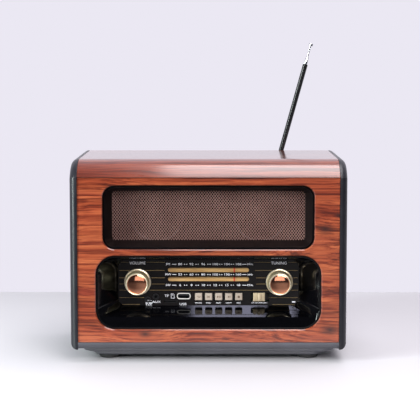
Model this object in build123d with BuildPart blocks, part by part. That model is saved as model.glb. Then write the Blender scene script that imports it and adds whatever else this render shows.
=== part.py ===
from build123d import *
from math import acos, asin, atan2, cos, degrees, radians, sin, sqrt
import os

# Retro table radio. Millimetres, +Z up, the listener looks along +Y.
# Depths are measured back from the front plane of the cabinet.

# ---------------------------------------------------------------- cabinet
cabinet_width = 275.0
cabinet_depth = 150.0
cabinet_top = 202.0
cap_thickness = 7.5
cap_edge_radius = 7.0
cap_pocket_depth = 4.0
cap_rim = 14.0
base_height = 13.4
rail_height = 7.2
rail_ledge = 2.0
board_thickness = 9.0
board_set_back = 1.0
nose_radius = 33.6
nose_drop = 16.6
edge_break = 0.8
boss_length = 11.0
boss_size = 11.0

# ---------------------------------------------------------------- base and feet
first_step_inset = 11.0
first_step_height = 4.3
second_step_inset = 20.5
plinth_corner = 14.0
tray_floor = 3.0
foot_height = 4.0
foot_radius = 10.5
foot_edge_radius = 1.6
plinth_edge_radius = 1.8
foot_x = 100.7
foot_inset = 33.0
post_radius = 3.0
main_board_lift = 4.0
main_board_width = 116.0
main_board_length = 46.0
main_board_gap = 11.5
post_inset = 5.0
can_radius = 5.0
can_height = 16.0
can_places = ((-40, -8), (-25, -8), (44, 9))
chip_places = ((2, -10), (22, -10))
chip_length = 14.0
chip_width = 8.0
chip_height = 2.4
transformer_x = -88.0
transformer_gap = 10.5
core_size = (40.0, 32.0, 34.0)
winding_size = (28.0, 44.0, 20.0)

# ---------------------------------------------------------------- openings in the front board
grille_half_width = 105.0
grille_bottom = 113.8
grille_top = 177.6
grille_corner = 12.0
recess_half_width = 112.2
recess_bottom = 33.6
recess_top = 107.6
recess_corner = 19.5
insert_clearance = 0.25
insert_set_back = 1.6
insert_wall = 1.8
flange_width = 2.4
flange_thickness = 2.4

# ---------------------------------------------------------------- grille and speakers
grille_depth = 21.0
grille_taper = 7.0
grille_side_taper = 8.2
grille_back_corner = 3.0
grille_back_flange = 6.0
mesh_thickness = 0.8
baffle_thickness = 5.0
speaker_x = 52.0
speaker_radius = 31.0
cone_travel_room = 1.2
cone_paper = 0.7
basket_length = 17.0
basket_steel = 1.0
basket_rim = 5.0
basket_waist = 17.0
basket_arms = 4
pole_radius = 5.0
window_inset = 9.0
window_width = 9.0
window_length = 13.0
window_half_depth = 5.0
cone_seat = 2.0
cone_surround = 3.0
cone_depth = 11.5
dust_cap_radius = 9.4
dust_cap_rise = 2.5
magnet_bore = 4.0
magnet_edge = 1.0
baffle_hole_inset = 4.0
magnet_radius = 22.0
magnet_thickness = 12.0

# ---------------------------------------------------------------- control recess and dial panel
recess_depth = 25.0
recess_side_taper = 21.2
recess_floor_rise = 20.0
recess_ceiling_drop = 7.8
recess_back_corner = 8.0
recess_lip_depth = 2.0
recess_lip_inset = 2.2
recess_lip_rise = 12.0
recess_lip_corner = 9.0
panel_margin = 7.0
panel_thickness = 2.0
stand_inset = 4.0
slot_length = 81.8
slot_width = 4.4
upper_slot_z = 89.7
lower_slot_z = 80.5
running_clearance = 0.05
moving_gap = 0.3

# ---------------------------------------------------------------- knobs
knob_x = 71.5
knob_z = 77.7
knob_base_radius = 13.6
knob_front_radius = 11.0
knob_length = 16.5
knob_rim = 1.3
cap_set_back = 0.1
knob_cap_inset = 1.2
knob_ring_height = 3.2
knob_edge = 0.6
knob_nut_room = 1.5
shaft_radius = 3.0
bushing_wall = 0.5
bushing_flange = 2.5
bushing_flange_thickness = 2.3
bushing_proud = 2.0
nut_wall = 2.0
nut_height = 1.6
hollow_depth = 5.0
pot_radius = 8.0
pot_wall = 1.5
wiper_thickness = 1.5

# ---------------------------------------------------------------- buttons, band switch, sockets
button_size = 7.05
button_pitch = 10.13
button_first_x = -10.0
button_z = 62.7
button_count = 5
button_proud = 2.0
button_travel = 1.2
button_edge = 0.6
button_flange = 0.8
button_rest_gap = 0.1
stem_radius = 1.8
switch_half = 3.0
switch_height = 3.5
plunger_height = 1.3
hole_clearance = 0.3
band_x = 51.0
band_z = 62.2
band_width = 11.8
band_height = 8.4
band_step = 2.0
band_steps_left = 1
band_steps_right = 2
band_proud = 1.6
band_ridge_height = 1.4
band_ridge_half = 1.4
band_edge = 0.5
band_neck = 1.2
band_stem_half = 1.2
band_stem_reach = 2.0
band_body_height = 6.0
band_body_wall = 1.0
usb_x = -25.0
usb_z = 63.3
usb_width = 13.3
usb_height = 6.2
usb_proud = 0.6
shell_wall = 0.4
socket_floor = 1.0
usb_tongue_width = 11.2
usb_tongue_height = 1.9
card_x = -38.0
card_z = 57.6
card_width = 12.4
card_height = 2.2
card_recess = 0.2
card_gap = 1.0
aux_x = -53.2
aux_z = 62.4
ear_x = -61.5
ear_z = 59.4
jack_radius = 3.0
jack_bore = 1.8
jack_proud = 0.4
jack_body_width = 6.4
jack_body_height = 8.0

# ---------------------------------------------------------------- dial drive
pointer_rest_x = 26.0
pointer_travel = 74.0
pointer_width = 1.2
pointer_thickness = 0.6
carriage_half = 5.0
carriage_wall = 1.0
guide_thickness = 2.4
guide_end = 9.0
guide_boss = 4.0
guide_overlap = 1.4
pulley_radius = 11.0
cord_radius = 0.4
cord_stand_off = 6.0
post_x = -85.0
guide_post_radius = 4.0
drum_x = 101.0
drum_z = 52.0
drum_shaft_radius = 2.5
drum_shaft_reach = 3.0
drum_window_place = 0.58
drum_window_share = 0.2
capacitor_half = 11.0
capacitor_thickness = 12.0
groove_lip = 1.2
wheel_half = 2.4
lip_thickness = 0.8
groove_slope = 0.6
rail_radius = 1.5
rail_z = 97.5
rail_stand_off = 5.0
rail_block = 4.0
rail_end_x = 50.0
circuit_stand_off = 11.0
circuit_thickness = 1.6
board_margin = 1.5

# ---------------------------------------------------------------- rear
cover_thickness = 3.0
cover_set_back = 1.0
screw_radius = 1.5
screw_length = 8.0
screw_head_radius = 3.0
screw_head_height = 1.8
screw_head_edge = 0.8
door_half_width = 41.0
door_bottom = 38.0
door_top = 64.0
door_clearance = 0.4
door_thickness = 2.2
grip_half = 8.0
grip_pitch = 2.2
grip_rib = 1.0
grip_height = 0.6
grip_inset = 3.0
grip_count = 5
cell_radius = 9.15
cell_length = 65.0
holder_wall = 2.0
holder_tab = 6.0
cell_cap_radius = 3.0
cell_cap_height = 2.0
cell_edge = 0.8
contact_thickness = 0.5
contact_half = 6.0
spring_foot_radius = 4.5
spring_tip_radius = 2.5
inlet_x = -95.0
inlet_z = 40.0
inlet_half_width = 12.0
inlet_half_height = 8.0
inlet_length = 14.0
inlet_lip = 2.0
inlet_lip_thickness = 1.5
inlet_hole_radius = 4.3
inlet_hole_offset = 3.3
inlet_pin_offset = 4.3
inlet_pin_radius = 1.2
inlet_floor = 1.0
ferrite_radius = 5.0
ferrite_length = 120.0
ferrite_gap = 28.0
ferrite_drop = 12.0
ferrite_coil_x = -30.0
ferrite_coil_build = 2.0
ferrite_coil_length = 26.0
ferrite_clip = 6.0
vent_pitch = 8.0
vent_row_pitch = 26.0
vent_length = 20.0
vent_width = 3.0
vent_columns = 18
vent_rows = 2

# ---------------------------------------------------------------- aerial
aerial_room = 9.0
aerial_lean = 15.5
pivot_x = 74.6
pivot_z = 186.0
elbow_rise = 7.0
tube_radius = 2.7
tube_start = 12.0
tube_end = 113.4
tube_bore = 1.9
inner_radius = 1.85
inner_bore = 0.8
rod_radius = 0.75
rod_reach = 12.0
tip_radius = 2.3
tip_length = 2.6
ear_thickness = 1.8
tongue_half = 1.5
pin_radius = 1.0
barrel_radius = 5.0
knuckle_base = 6.0
bracket_thickness = 2.0
bracket_half = 8.0
bracket_drop = 11.0
bracket_corner = 2.0
knuckle_drop = 1.0
tongue_width = 4.6
bore_floor = 6.0
section_floor = 5.0
section_proud = 8.8
collar_taper = 5.2
collar_tip_radius = 1.2
tip_edge = 0.7

# ---------------------------------------------------------------- places that follow from the sizes
front = -(cabinet_depth + aerial_room) / 2
back = front + cabinet_depth
wood_half_width = cabinet_width / 2 - cap_thickness
rail_top = base_height + rail_height
nose_end = cabinet_top - nose_drop
nose_height = nose_radius - nose_drop
nose_depth = sqrt(nose_radius**2 - nose_height**2)
board_back = board_set_back + board_thickness
insert_front = board_set_back + insert_set_back
recess_back_half = recess_half_width - recess_side_taper
recess_back_bottom = recess_bottom + recess_floor_rise
recess_back_top = recess_top - recess_ceiling_drop
panel_back = recess_depth + panel_thickness
cord_depth = panel_back + cord_stand_off
rail_depth = panel_back + rail_stand_off
circuit_depth = panel_back + circuit_stand_off
bushing_radius = shaft_radius + bushing_wall
nut_radius = bushing_radius + nut_wall
knob_front = recess_depth - moving_gap - knob_length
mesh_depth = grille_depth
baffle_depth = mesh_depth + mesh_thickness
speaker_depth = baffle_depth + baffle_thickness
speaker_z = (grille_bottom + grille_top) / 2
cover_front = cabinet_depth - cover_set_back - cover_thickness
cover_high = cabinet_top - board_thickness
cover_back = cabinet_depth - cover_set_back
plinth_top = base_height
plinth_middle = base_height - first_step_height
tray_inside = foot_height + tray_floor
tray_back = cabinet_depth - second_step_inset - tray_floor
main_board_depth = tray_back - main_board_gap - main_board_length / 2
transformer_depth = tray_back - transformer_gap - winding_size[1] / 2
drum_radius = pointer_travel / radians(180)
cord_gap = cord_radius + moving_gap
pulley_cord = pulley_radius + cord_gap
drum_cord = drum_radius + cord_gap
post_cord = guide_post_radius + cord_gap
cord_top = knob_z + pulley_cord
cord_bottom = drum_z - drum_cord

os.makedirs("parts", exist_ok=True)


def save(piece, name):
    """Label a finished piece and write it as its own STEP file."""
    piece.part.label = name
    export_step(piece.part, f"parts/{name}.step")


def at_depth(depth):
    """Upright plane that faces the listener, a given depth behind the front."""
    return Plane(origin=(0, front + depth, 0), x_dir=(1, 0, 0), z_dir=(0, -1, 0))


def turning_plane(x, z):
    """Plane for a turned profile: radius along X, depth along Y."""
    return Plane(origin=(x, front, z), x_dir=(1, 0, 0), z_dir=(0, 0, 1))


def depth_axis(x, z):
    """Front-to-back axis through a point of the front."""
    return Axis((x, front, z), (0, 1, 0))


def block(x_span, depth_span, z_span, mode=Mode.ADD):
    """Rectangular block in the open part, given by its three spans."""
    centre_x = sum(x_span) / 2
    centre_y = front + sum(depth_span) / 2
    centre_z = sum(z_span) / 2
    with Locations((centre_x, centre_y, centre_z)):
        Box(x_span[1] - x_span[0], depth_span[1] - depth_span[0], z_span[1] - z_span[0], mode=mode)


def round_bar(x, z, radius, depth_span, mode=Mode.ADD):
    """Front-to-back cylinder in the open part."""
    centre_y = front + sum(depth_span) / 2
    with Locations(Location((x, centre_y, z), (90, 0, 0))):
        Cylinder(radius, depth_span[1] - depth_span[0], mode=mode)


def turned(points, x, z):
    """Solid of revolution about a front-to-back axis, from (radius, depth) points."""
    with BuildPart() as shape:
        with BuildSketch(turning_plane(x, z)):
            with BuildLine():
                Polyline(*points, close=True)
            make_face()
        revolve(axis=depth_axis(x, z))
    return shape.part


def opening(half_width, bottom, top, corner, depth, low_corner=None):
    """Rounded rectangle on the upright plane at a depth; its lower corners may differ."""
    with BuildSketch(at_depth(depth)) as outline:
        with Locations((0, (bottom + top) / 2)):
            Rectangle(2 * half_width, top - bottom)
        fillet(vertices().group_by(Axis.Y)[-1], corner)
        fillet(vertices().group_by(Axis.Y)[0], low_corner or corner)
    return outline.sketch


# ================================================================ cabinet
def cabinet_profile(inset, end):
    """Side outline of the cabinet shell, with the curved nose at the top front."""
    start_angle = 90
    end_angle = 180 - degrees(asin(nose_height / (nose_radius - inset)))
    nose_centre = (front + nose_depth, cabinet_top - nose_radius)
    with BuildLine() as outline:
        Line((end, cabinet_top - inset), (nose_centre[0], cabinet_top - inset))
        CenterArc(nose_centre, nose_radius - inset, start_angle, end_angle - start_angle)
    return outline.line


with BuildPart() as top_board:
    with BuildSketch(Plane.YZ.offset(-wood_half_width)) as section:
        outside = cabinet_profile(0, back)
        inside = cabinet_profile(board_thickness, back)
        with BuildLine():
            add(outside)
            add(inside)
            Line(outside @ 0, inside @ 0)
            Line(outside @ 1, inside @ 1)
        make_face()
    extrude(amount=2 * wood_half_width)
    chamfer(faces().sort_by(Axis.X)[0].outer_wire().edges(), edge_break / 2)
    chamfer(faces().sort_by(Axis.X)[-1].outer_wire().edges(), edge_break / 2)
save(top_board, "top_board")

with BuildPart() as front_board:
    with BuildSketch(at_depth(board_set_back)):
        with Locations((0, (rail_top + nose_end) / 2)):
            Rectangle(2 * wood_half_width, nose_end - rail_top)
    extrude(amount=-board_thickness)
    chamfer(faces().sort_by(Axis.Y)[0].outer_wire().edges(), edge_break / 2)
    extrude(
        opening(grille_half_width, grille_bottom, grille_top, grille_corner, board_set_back),
        amount=-board_thickness,
        mode=Mode.SUBTRACT,
    )
    extrude(
        opening(recess_half_width, recess_bottom, recess_top, recess_corner, board_set_back),
        amount=-board_thickness,
        mode=Mode.SUBTRACT,
    )
    rims = faces().sort_by(Axis.Y)[0].inner_wires()
    for rim in rims:
        chamfer(rim.edges(), edge_break)
save(front_board, "front_board")


def make_side_cap(side):
    """End cap: cabinet-shaped plate with a rounded rim, a pocket and screw bosses inside."""
    outer = cabinet_profile(0, back)
    inner_face = side * wood_half_width
    boss_heights = (rail_top, (rail_top + cabinet_top) / 2, cabinet_top - board_thickness)
    with BuildPart() as cap:
        with BuildSketch(Plane.YZ.offset(inner_face)):
            with BuildLine():
                add(outer)
                Line(outer @ 1, (front, base_height))
                Line((front, base_height), (back, base_height))
                Line((back, base_height), outer @ 0)
            make_face()
        extrude(amount=side * cap_thickness)
        outer_face = faces().sort_by(Axis.X)[0 if side < 0 else -1]
        fillet(outer_face.outer_wire().edges(), cap_edge_radius)
        pocket_middle = (back + front) / 2
        pocket_top = nose_end - cap_rim
        pocket_bottom = rail_top + cap_rim
        with BuildSketch(Plane.YZ.offset(inner_face)):
            with Locations((pocket_middle, (pocket_top + pocket_bottom) / 2)):
                RectangleRounded(cabinet_depth - 2 * cap_rim, pocket_top - pocket_bottom, cap_rim / 2)
        extrude(amount=side * cap_pocket_depth, mode=Mode.SUBTRACT)
        lows = (boss_heights[0], boss_heights[1], boss_heights[2] - boss_size)
        x_span = sorted((inner_face, inner_face - side * boss_length))
        for low in lows:
            block(x_span, (cover_front - boss_length, cover_front), (low, low + boss_size))
            screw_x = inner_face - side * boss_length / 2
            bore_radius = screw_radius + running_clearance
            bore_span = (cover_front - screw_length, cover_front)
            round_bar(screw_x, low + boss_size / 2, bore_radius, bore_span, Mode.SUBTRACT)
    return cap


side_cap_left = make_side_cap(-1)
side_cap_right = make_side_cap(1)
save(side_cap_left, "side_cap_left")
save(side_cap_right, "side_cap_right")

# ================================================================ base
with BuildPart() as base_tray:
    block((-wood_half_width, wood_half_width), (0, cabinet_depth), (base_height, rail_top))
    front_edge = edges().filter_by(Axis.X).group_by(Axis.Z)[0]
    fillet(front_edge, cap_edge_radius)
    for inset, low, high in (
        (first_step_inset, plinth_middle, plinth_top),
        (second_step_inset, foot_height, plinth_middle),
    ):
        with BuildSketch(Plane.XY.offset(low)):
            with Locations((0, (front + back) / 2)):
                RectangleRounded(cabinet_width - 2 * inset, cabinet_depth - 2 * inset, plinth_corner)
        extrude(amount=high - low)
        fillet(faces().sort_by(Axis.Z)[0].outer_wire().edges(), plinth_edge_radius)
    deep_inset = second_step_inset + tray_floor
    deep_half = cabinet_width / 2 - deep_inset
    deep_span = (deep_inset, cabinet_depth - deep_inset)
    block((-deep_half, deep_half), deep_span, (tray_inside, rail_top), Mode.SUBTRACT)
    wide_half = wood_half_width - tray_floor
    wide_span = (board_back + rail_ledge, cover_front - tray_floor)
    block((-wide_half, wide_half), wide_span, (base_height + tray_floor, rail_top), Mode.SUBTRACT)
    post_pitch_x = main_board_width - 2 * post_inset
    post_pitch_y = main_board_length - 2 * post_inset
    with BuildSketch(Plane.XY.offset(tray_inside)):
        with Locations((0, front + main_board_depth)):
            with GridLocations(post_pitch_x, post_pitch_y, 2, 2):
                Circle(post_radius)
    extrude(amount=main_board_lift)
save(base_tray, "base_tray")


def make_feet(depth):
    """Pair of rubber feet under the plinth, at one depth."""
    with BuildPart() as pair:
        with BuildSketch(Plane.XY):
            with Locations((-foot_x, front + depth), (foot_x, front + depth)):
                Circle(foot_radius)
        extrude(amount=foot_height)
        fillet(edges().group_by(Axis.Z)[0], foot_edge_radius)
    return pair


feet_front = make_feet(foot_inset)
feet_rear = make_feet(cabinet_depth - foot_inset)
save(feet_front, "feet_front")
save(feet_rear, "feet_rear")

# ================================================================ grille and speakers
grille_back_half = grille_half_width - grille_side_taper
grille_back_bottom = grille_bottom + grille_taper
grille_back_top = grille_top - grille_taper


def flared_insert(front_sizes, deeper_sizes, back_flange):
    """Tapered frame that stands in an opening of the front board from behind."""
    half, bottom, top, corner = front_sizes
    back_half, back_bottom, back_top, back_corner, end_depth, _ = deeper_sizes[-1]
    gap = insert_clearance
    rim = insert_clearance + insert_wall
    wall = insert_wall
    outer = [opening(half - gap, bottom + gap, top - gap, corner - gap, insert_front)]
    inner = [opening(half - rim, bottom + rim, top - rim, corner - rim, insert_front)]
    for wide, low, high, turn, depth, low_turn in deeper_sizes:
        outside = (wide + wall, low - wall, high + wall, turn + wall, depth, low_turn + wall)
        outer.append(opening(*outside))
        inner.append(opening(wide, low, high, turn, depth, low_turn))
    with BuildPart() as insert:
        loft(outer, ruled=True)
        lip = flange_width
        extrude(
            opening(half + lip, bottom - lip, top + lip, corner + lip, board_back),
            amount=-flange_thickness,
        )
        wide = back_flange
        extrude(
            opening(back_half + wide, back_bottom - wide, back_top + wide, back_corner, end_depth),
            amount=flange_thickness,
        )
        loft(inner, ruled=True, mode=Mode.SUBTRACT)
    return insert


back_turn = grille_back_corner
grille_bezel = flared_insert(
    (grille_half_width, grille_bottom, grille_top, grille_corner),
    [(grille_back_half, grille_back_bottom, grille_back_top, back_turn, grille_depth, back_turn)],
    grille_back_flange,
)
save(grille_bezel, "grille_bezel")

baffle_half = grille_back_half + grille_back_flange
baffle_low = grille_back_bottom - grille_back_flange
baffle_high = grille_back_top + grille_back_flange

with BuildPart() as grille_mesh:
    extrude(
        opening(baffle_half, baffle_low, baffle_high, grille_back_corner, mesh_depth),
        amount=-mesh_thickness,
    )
save(grille_mesh, "grille_mesh")

with BuildPart() as speaker_baffle:
    block((-baffle_half, baffle_half), (baffle_depth, speaker_depth), (baffle_low, baffle_high))
    for x in (-speaker_x, speaker_x):
        hole_span = (baffle_depth, speaker_depth)
        round_bar(x, speaker_z, speaker_radius - baffle_hole_inset, hole_span, Mode.SUBTRACT)
save(speaker_baffle, "speaker_baffle")


def make_speaker_basket(x):
    """Pressed steel basket: rim, four arms and a flat back for the magnet."""
    rim = speaker_radius
    steel = basket_steel
    throat = rim - basket_rim
    window_depth = front + speaker_depth + basket_length / 2
    depth_back = speaker_depth + basket_length
    ledge = speaker_depth + cone_travel_room + cone_paper
    outline = (
        (rim, speaker_depth),
        (rim, speaker_depth + steel),
        (throat + steel, speaker_depth + steel),
        (basket_waist + steel, depth_back),
        (basket_waist + steel, depth_back + steel),
        (pole_radius, depth_back + steel),
        (pole_radius, depth_back),
        (basket_waist, depth_back),
        (throat - cone_seat, ledge),
        (throat, ledge),
        (throat, speaker_depth),
    )
    with BuildPart() as basket:
        add(turned(outline, x, speaker_z))
        windows = Plane(origin=(x, window_depth, speaker_z), z_dir=(0, 1, 0))
        with BuildSketch(windows) as window_cut:
            with PolarLocations(rim - window_inset, basket_arms):
                Rectangle(window_width, window_length)
        extrude(window_cut.sketch, amount=window_half_depth, both=True, mode=Mode.SUBTRACT)
    return basket


def make_speaker_cone(x):
    """Paper cone with its roll surround and dust cap."""
    edge = speaker_radius - basket_rim - moving_gap
    paper = cone_paper
    start = speaker_depth + cone_travel_room
    with BuildPart() as cone:
        outline = (
            (edge, start),
            (edge, start + paper),
            (edge - cone_surround, start + paper),
            (dust_cap_radius, start + cone_depth),
            (0, start + cone_depth - dust_cap_rise),
            (0, start + cone_depth - dust_cap_rise - paper),
            (dust_cap_radius - paper, start + cone_depth - paper),
            (edge - cone_surround - paper, start),
        )
        add(turned(outline, x, speaker_z))
    return cone


def make_speaker_magnet(x):
    """Ring magnet with its back plate."""
    start = speaker_depth + basket_length + basket_steel
    with BuildPart() as magnet:
        round_bar(x, speaker_z, magnet_radius, (start, start + magnet_thickness))
        chamfer(edges().group_by(Axis.Y)[-1], magnet_edge)
        round_bar(x, speaker_z, magnet_bore, (start, start + magnet_thickness), Mode.SUBTRACT)
    return magnet


for side_name, speaker_side in (("left", -speaker_x), ("right", speaker_x)):
    save(make_speaker_basket(speaker_side), f"speaker_basket_{side_name}")
    save(make_speaker_cone(speaker_side), f"speaker_cone_{side_name}")
    save(make_speaker_magnet(speaker_side), f"speaker_magnet_{side_name}")

# ================================================================ control recess and dial panel
lip_depth = insert_front + recess_lip_depth
lip_half = recess_half_width - recess_lip_inset
lip_bottom = recess_bottom + recess_lip_rise
lip_top = recess_top - recess_lip_inset
lip_corner = recess_corner - recess_lip_inset
back_turn = recess_back_corner
control_recess = flared_insert(
    (recess_half_width, recess_bottom, recess_top, recess_corner),
    [
        (lip_half, lip_bottom, lip_top, lip_corner, lip_depth, recess_lip_corner),
        (recess_back_half, recess_back_bottom, recess_back_top, back_turn, recess_depth, back_turn),
    ],
    panel_margin,
)
save(control_recess, "control_recess")

button_places = [button_first_x + index * button_pitch for index in range(button_count)]
panel_half = recess_back_half + panel_margin
panel_low = recess_back_bottom - panel_margin
panel_high = recess_back_top + panel_margin
stand_x = panel_half - stand_inset
stand_places = (
    (-stand_x, panel_high - stand_inset),
    (-stand_x, panel_low + stand_inset),
    (stand_x, panel_high - stand_inset),
    (band_x + band_width, panel_low + stand_inset),
)
band_travel = (band_steps_left + band_steps_right) * band_step
band_slot_width = band_width + band_travel + 2 * hole_clearance
band_slot_x = band_x + (band_steps_right - band_steps_left) * band_step / 2

with BuildPart() as dial_panel:
    extrude(
        opening(panel_half, panel_low, panel_high, recess_back_corner, recess_depth),
        amount=-panel_thickness,
    )
    for x, z in stand_places:
        round_bar(x, z, post_radius, (panel_back, circuit_depth))
    with BuildSketch(at_depth(recess_depth)) as cuts:
        with Locations((-knob_x, knob_z), (knob_x, knob_z)):
            Circle(bushing_radius + running_clearance)
        with Locations((0, upper_slot_z), (0, lower_slot_z)):
            SlotOverall(slot_length, slot_width)
        with Locations(*[(x, button_z) for x in button_places]):
            Rectangle(button_size + 2 * hole_clearance, button_size + 2 * hole_clearance)
        with Locations((band_slot_x, band_z)):
            Rectangle(band_slot_width, band_height + 2 * hole_clearance)
        with Locations((usb_x, usb_z)):
            Rectangle(usb_width + 2 * hole_clearance, usb_height + 2 * hole_clearance)
        with Locations((card_x, card_z)):
            Rectangle(card_width + 2 * hole_clearance, card_height + 2 * hole_clearance)
        with Locations((aux_x, aux_z), (ear_x, ear_z)):
            Circle(jack_radius + hole_clearance)
    extrude(cuts.sketch, amount=-panel_thickness, mode=Mode.SUBTRACT)
save(dial_panel, "dial_panel")

guide_depth = panel_back + pointer_thickness + 3 * moving_gap
guide_half = slot_length / 2 + guide_end
guide_low = lower_slot_z - slot_width / 2 - guide_overlap
guide_high = upper_slot_z + slot_width / 2 + guide_overlap

with BuildPart() as light_guide:
    block((-guide_half, guide_half), (guide_depth, guide_depth + guide_thickness), (guide_low, guide_high))
    boss_start = guide_half - guide_boss
    for x_span in ((-guide_half, -boss_start), (boss_start, guide_half)):
        block(x_span, (panel_back, guide_depth), (guide_low, guide_high))
save(light_guide, "light_guide")


# ================================================================ knobs and shafts
def make_knob(x):
    """Knob body: wide base ring, tapered skirt, hollow back and a seat for the cap."""
    base = recess_depth - moving_gap
    ring_top = base - knob_ring_height
    hollow = nut_radius + knob_nut_room
    soft = knob_edge
    bore = shaft_radius + running_clearance
    outline = (
        (hollow, base),
        (knob_base_radius - soft, base),
        (knob_base_radius, base - soft),
        (knob_base_radius, ring_top + soft),
        (knob_base_radius - soft, ring_top),
        (knob_base_radius - 2 * soft, ring_top),
        (knob_front_radius + soft, knob_front + 2 * soft),
        (knob_front_radius, knob_front),
        (knob_front_radius - knob_rim, knob_front),
        (knob_front_radius - knob_rim, knob_front + knob_cap_inset),
        (bore, knob_front + knob_cap_inset),
        (bore, base - hollow_depth),
        (hollow, base - hollow_depth),
    )
    with BuildPart() as knob:
        add(turned(outline, x, knob_z))
    return knob


def make_knob_cap(x):
    """Polished disc that is pressed into the knob's face."""
    radius = knob_front_radius - knob_rim
    step = knob_edge
    outline = (
        (0, knob_front + cap_set_back),
        (radius - 2 * step, knob_front + cap_set_back),
        (radius - step, knob_front + step),
        (radius, knob_front + step),
        (radius, knob_front + knob_cap_inset),
        (0, knob_front + knob_cap_inset),
    )
    with BuildPart() as cap:
        add(turned(outline, x, knob_z))
    return cap


for knob_name, knob_side in (("volume_knob", -knob_x), ("tuning_knob", knob_x)):
    save(make_knob(knob_side), knob_name)
    save(make_knob_cap(knob_side), f"{knob_name}_cap")

shaft_start = knob_front + knob_cap_inset
pot_front = panel_back + bushing_flange_thickness
pot_cavity = (pot_front + pot_wall, circuit_depth - pot_wall)
wiper_start = (pot_cavity[0] + pot_cavity[1]) / 2

with BuildPart() as volume_shaft:
    round_bar(-knob_x, knob_z, shaft_radius, (shaft_start, wiper_start))
    wiper_radius = pot_radius - pot_wall - hole_clearance
    wiper_span = (wiper_start, wiper_start + wiper_thickness)
    round_bar(-knob_x, knob_z, wiper_radius, wiper_span)
save(volume_shaft, "volume_shaft")

with BuildPart() as volume_control:
    round_bar(-knob_x, knob_z, pot_radius, (pot_front, circuit_depth))
    round_bar(-knob_x, knob_z, bushing_radius, (recess_depth - bushing_proud, pot_front))
    with BuildSketch(at_depth(recess_depth)) as nut:
        with Locations((-knob_x, knob_z)):
            RegularPolygon(nut_radius, 6)
    extrude(nut.sketch, amount=nut_height)
    cavity_radius = pot_radius - pot_wall
    round_bar(-knob_x, knob_z, cavity_radius, pot_cavity, Mode.SUBTRACT)
    bore = shaft_radius + running_clearance
    round_bar(-knob_x, knob_z, bore, (recess_depth - bushing_proud, pot_cavity[0]), Mode.SUBTRACT)
save(volume_control, "volume_control")

pulley_front = cord_depth - wheel_half
pulley_back = cord_depth + wheel_half


def grooved_wheel(radius, x, z):
    """Wheel whose flat groove carries the dial cord between two lips."""
    lip = radius + groove_lip
    outline = (
        (0, pulley_front),
        (lip, pulley_front),
        (lip, pulley_front + lip_thickness),
        (radius, pulley_front + lip_thickness + groove_slope),
        (radius, pulley_back - lip_thickness - groove_slope),
        (lip, pulley_back - lip_thickness),
        (lip, pulley_back),
        (0, pulley_back),
    )
    return turned(outline, x, z)


with BuildPart() as tuning_shaft:
    round_bar(knob_x, knob_z, shaft_radius, (shaft_start, circuit_depth - moving_gap))
    add(grooved_wheel(pulley_radius, knob_x, knob_z))
save(tuning_shaft, "tuning_shaft")

with BuildPart() as tuning_bushing:
    round_bar(knob_x, knob_z, bushing_radius, (recess_depth - bushing_proud, panel_back))
    flange_span = (panel_back, panel_back + bushing_flange_thickness)
    round_bar(knob_x, knob_z, bushing_radius + bushing_flange, flange_span)
    with BuildSketch(at_depth(recess_depth)) as nut:
        with Locations((knob_x, knob_z)):
            RegularPolygon(nut_radius, 6)
    extrude(nut.sketch, amount=nut_height)
    bore = shaft_radius + running_clearance
    round_bar(knob_x, knob_z, bore, (recess_depth - bushing_proud, pulley_front), Mode.SUBTRACT)
save(tuning_bushing, "tuning_bushing")

# ================================================================ dial drive
drum_shaft_end = circuit_depth + circuit_thickness + drum_shaft_reach

with BuildPart() as capacitor_drum:
    add(grooved_wheel(drum_radius, drum_x, drum_z))
    round_bar(drum_x, drum_z, drum_shaft_radius, (pulley_back, drum_shaft_end))
    with BuildSketch(at_depth(pulley_front)) as windows:
        with Locations((drum_x, drum_z)):
            with PolarLocations(drum_radius * drum_window_place, 4):
                Circle(drum_radius * drum_window_share)
    extrude(windows.sketch, amount=-(pulley_back - pulley_front), mode=Mode.SUBTRACT)
save(capacitor_drum, "capacitor_drum")

capacitor_front = circuit_depth + circuit_thickness

with BuildPart() as tuning_capacitor:
    x_span = (drum_x - capacitor_half, drum_x + capacitor_half)
    z_span = (drum_z - capacitor_half, drum_z + capacitor_half)
    block(x_span, (capacitor_front, capacitor_front + capacitor_thickness), z_span)
    bore_span = (capacitor_front, drum_shaft_end + moving_gap)
    round_bar(drum_x, drum_z, drum_shaft_radius + running_clearance, bore_span, Mode.SUBTRACT)
save(tuning_capacitor, "tuning_capacitor")

# The cord leaves the pulley and the drum along their common outer tangent.
pulley_to_drum = (knob_x - drum_x, knob_z - drum_z)
pulley_distance = sqrt(pulley_to_drum[0] ** 2 + pulley_to_drum[1] ** 2)
bearing = atan2(pulley_to_drum[1], pulley_to_drum[0])
tangent_angle = bearing - acos((drum_cord - pulley_cord) / pulley_distance)
tangent_x = cos(tangent_angle)
tangent_z = sin(tangent_angle)
tangent_offset = tangent_x * knob_x + tangent_z * knob_z + pulley_cord
left_run = post_x - post_cord
cord_corners = (
    (left_run, cord_top),
    ((tangent_offset - tangent_z * cord_top) / tangent_x, cord_top),
    ((tangent_offset - tangent_z * cord_bottom) / tangent_x, cord_bottom),
    (left_run, cord_bottom),
)

with BuildPart() as dial_cord:
    with BuildLine(at_depth(cord_depth)) as cord_path:
        FilletPolyline(
            *cord_corners,
            radius=(post_cord, pulley_cord, drum_cord, post_cord),
            close=True,
        )
    cord_start = cord_path.line @ 0
    cord_direction = cord_path.line % 0
    with BuildSketch(Plane(origin=cord_start, z_dir=cord_direction)):
        Circle(cord_radius)
    sweep(path=cord_path.line)
save(dial_cord, "dial_cord")

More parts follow.
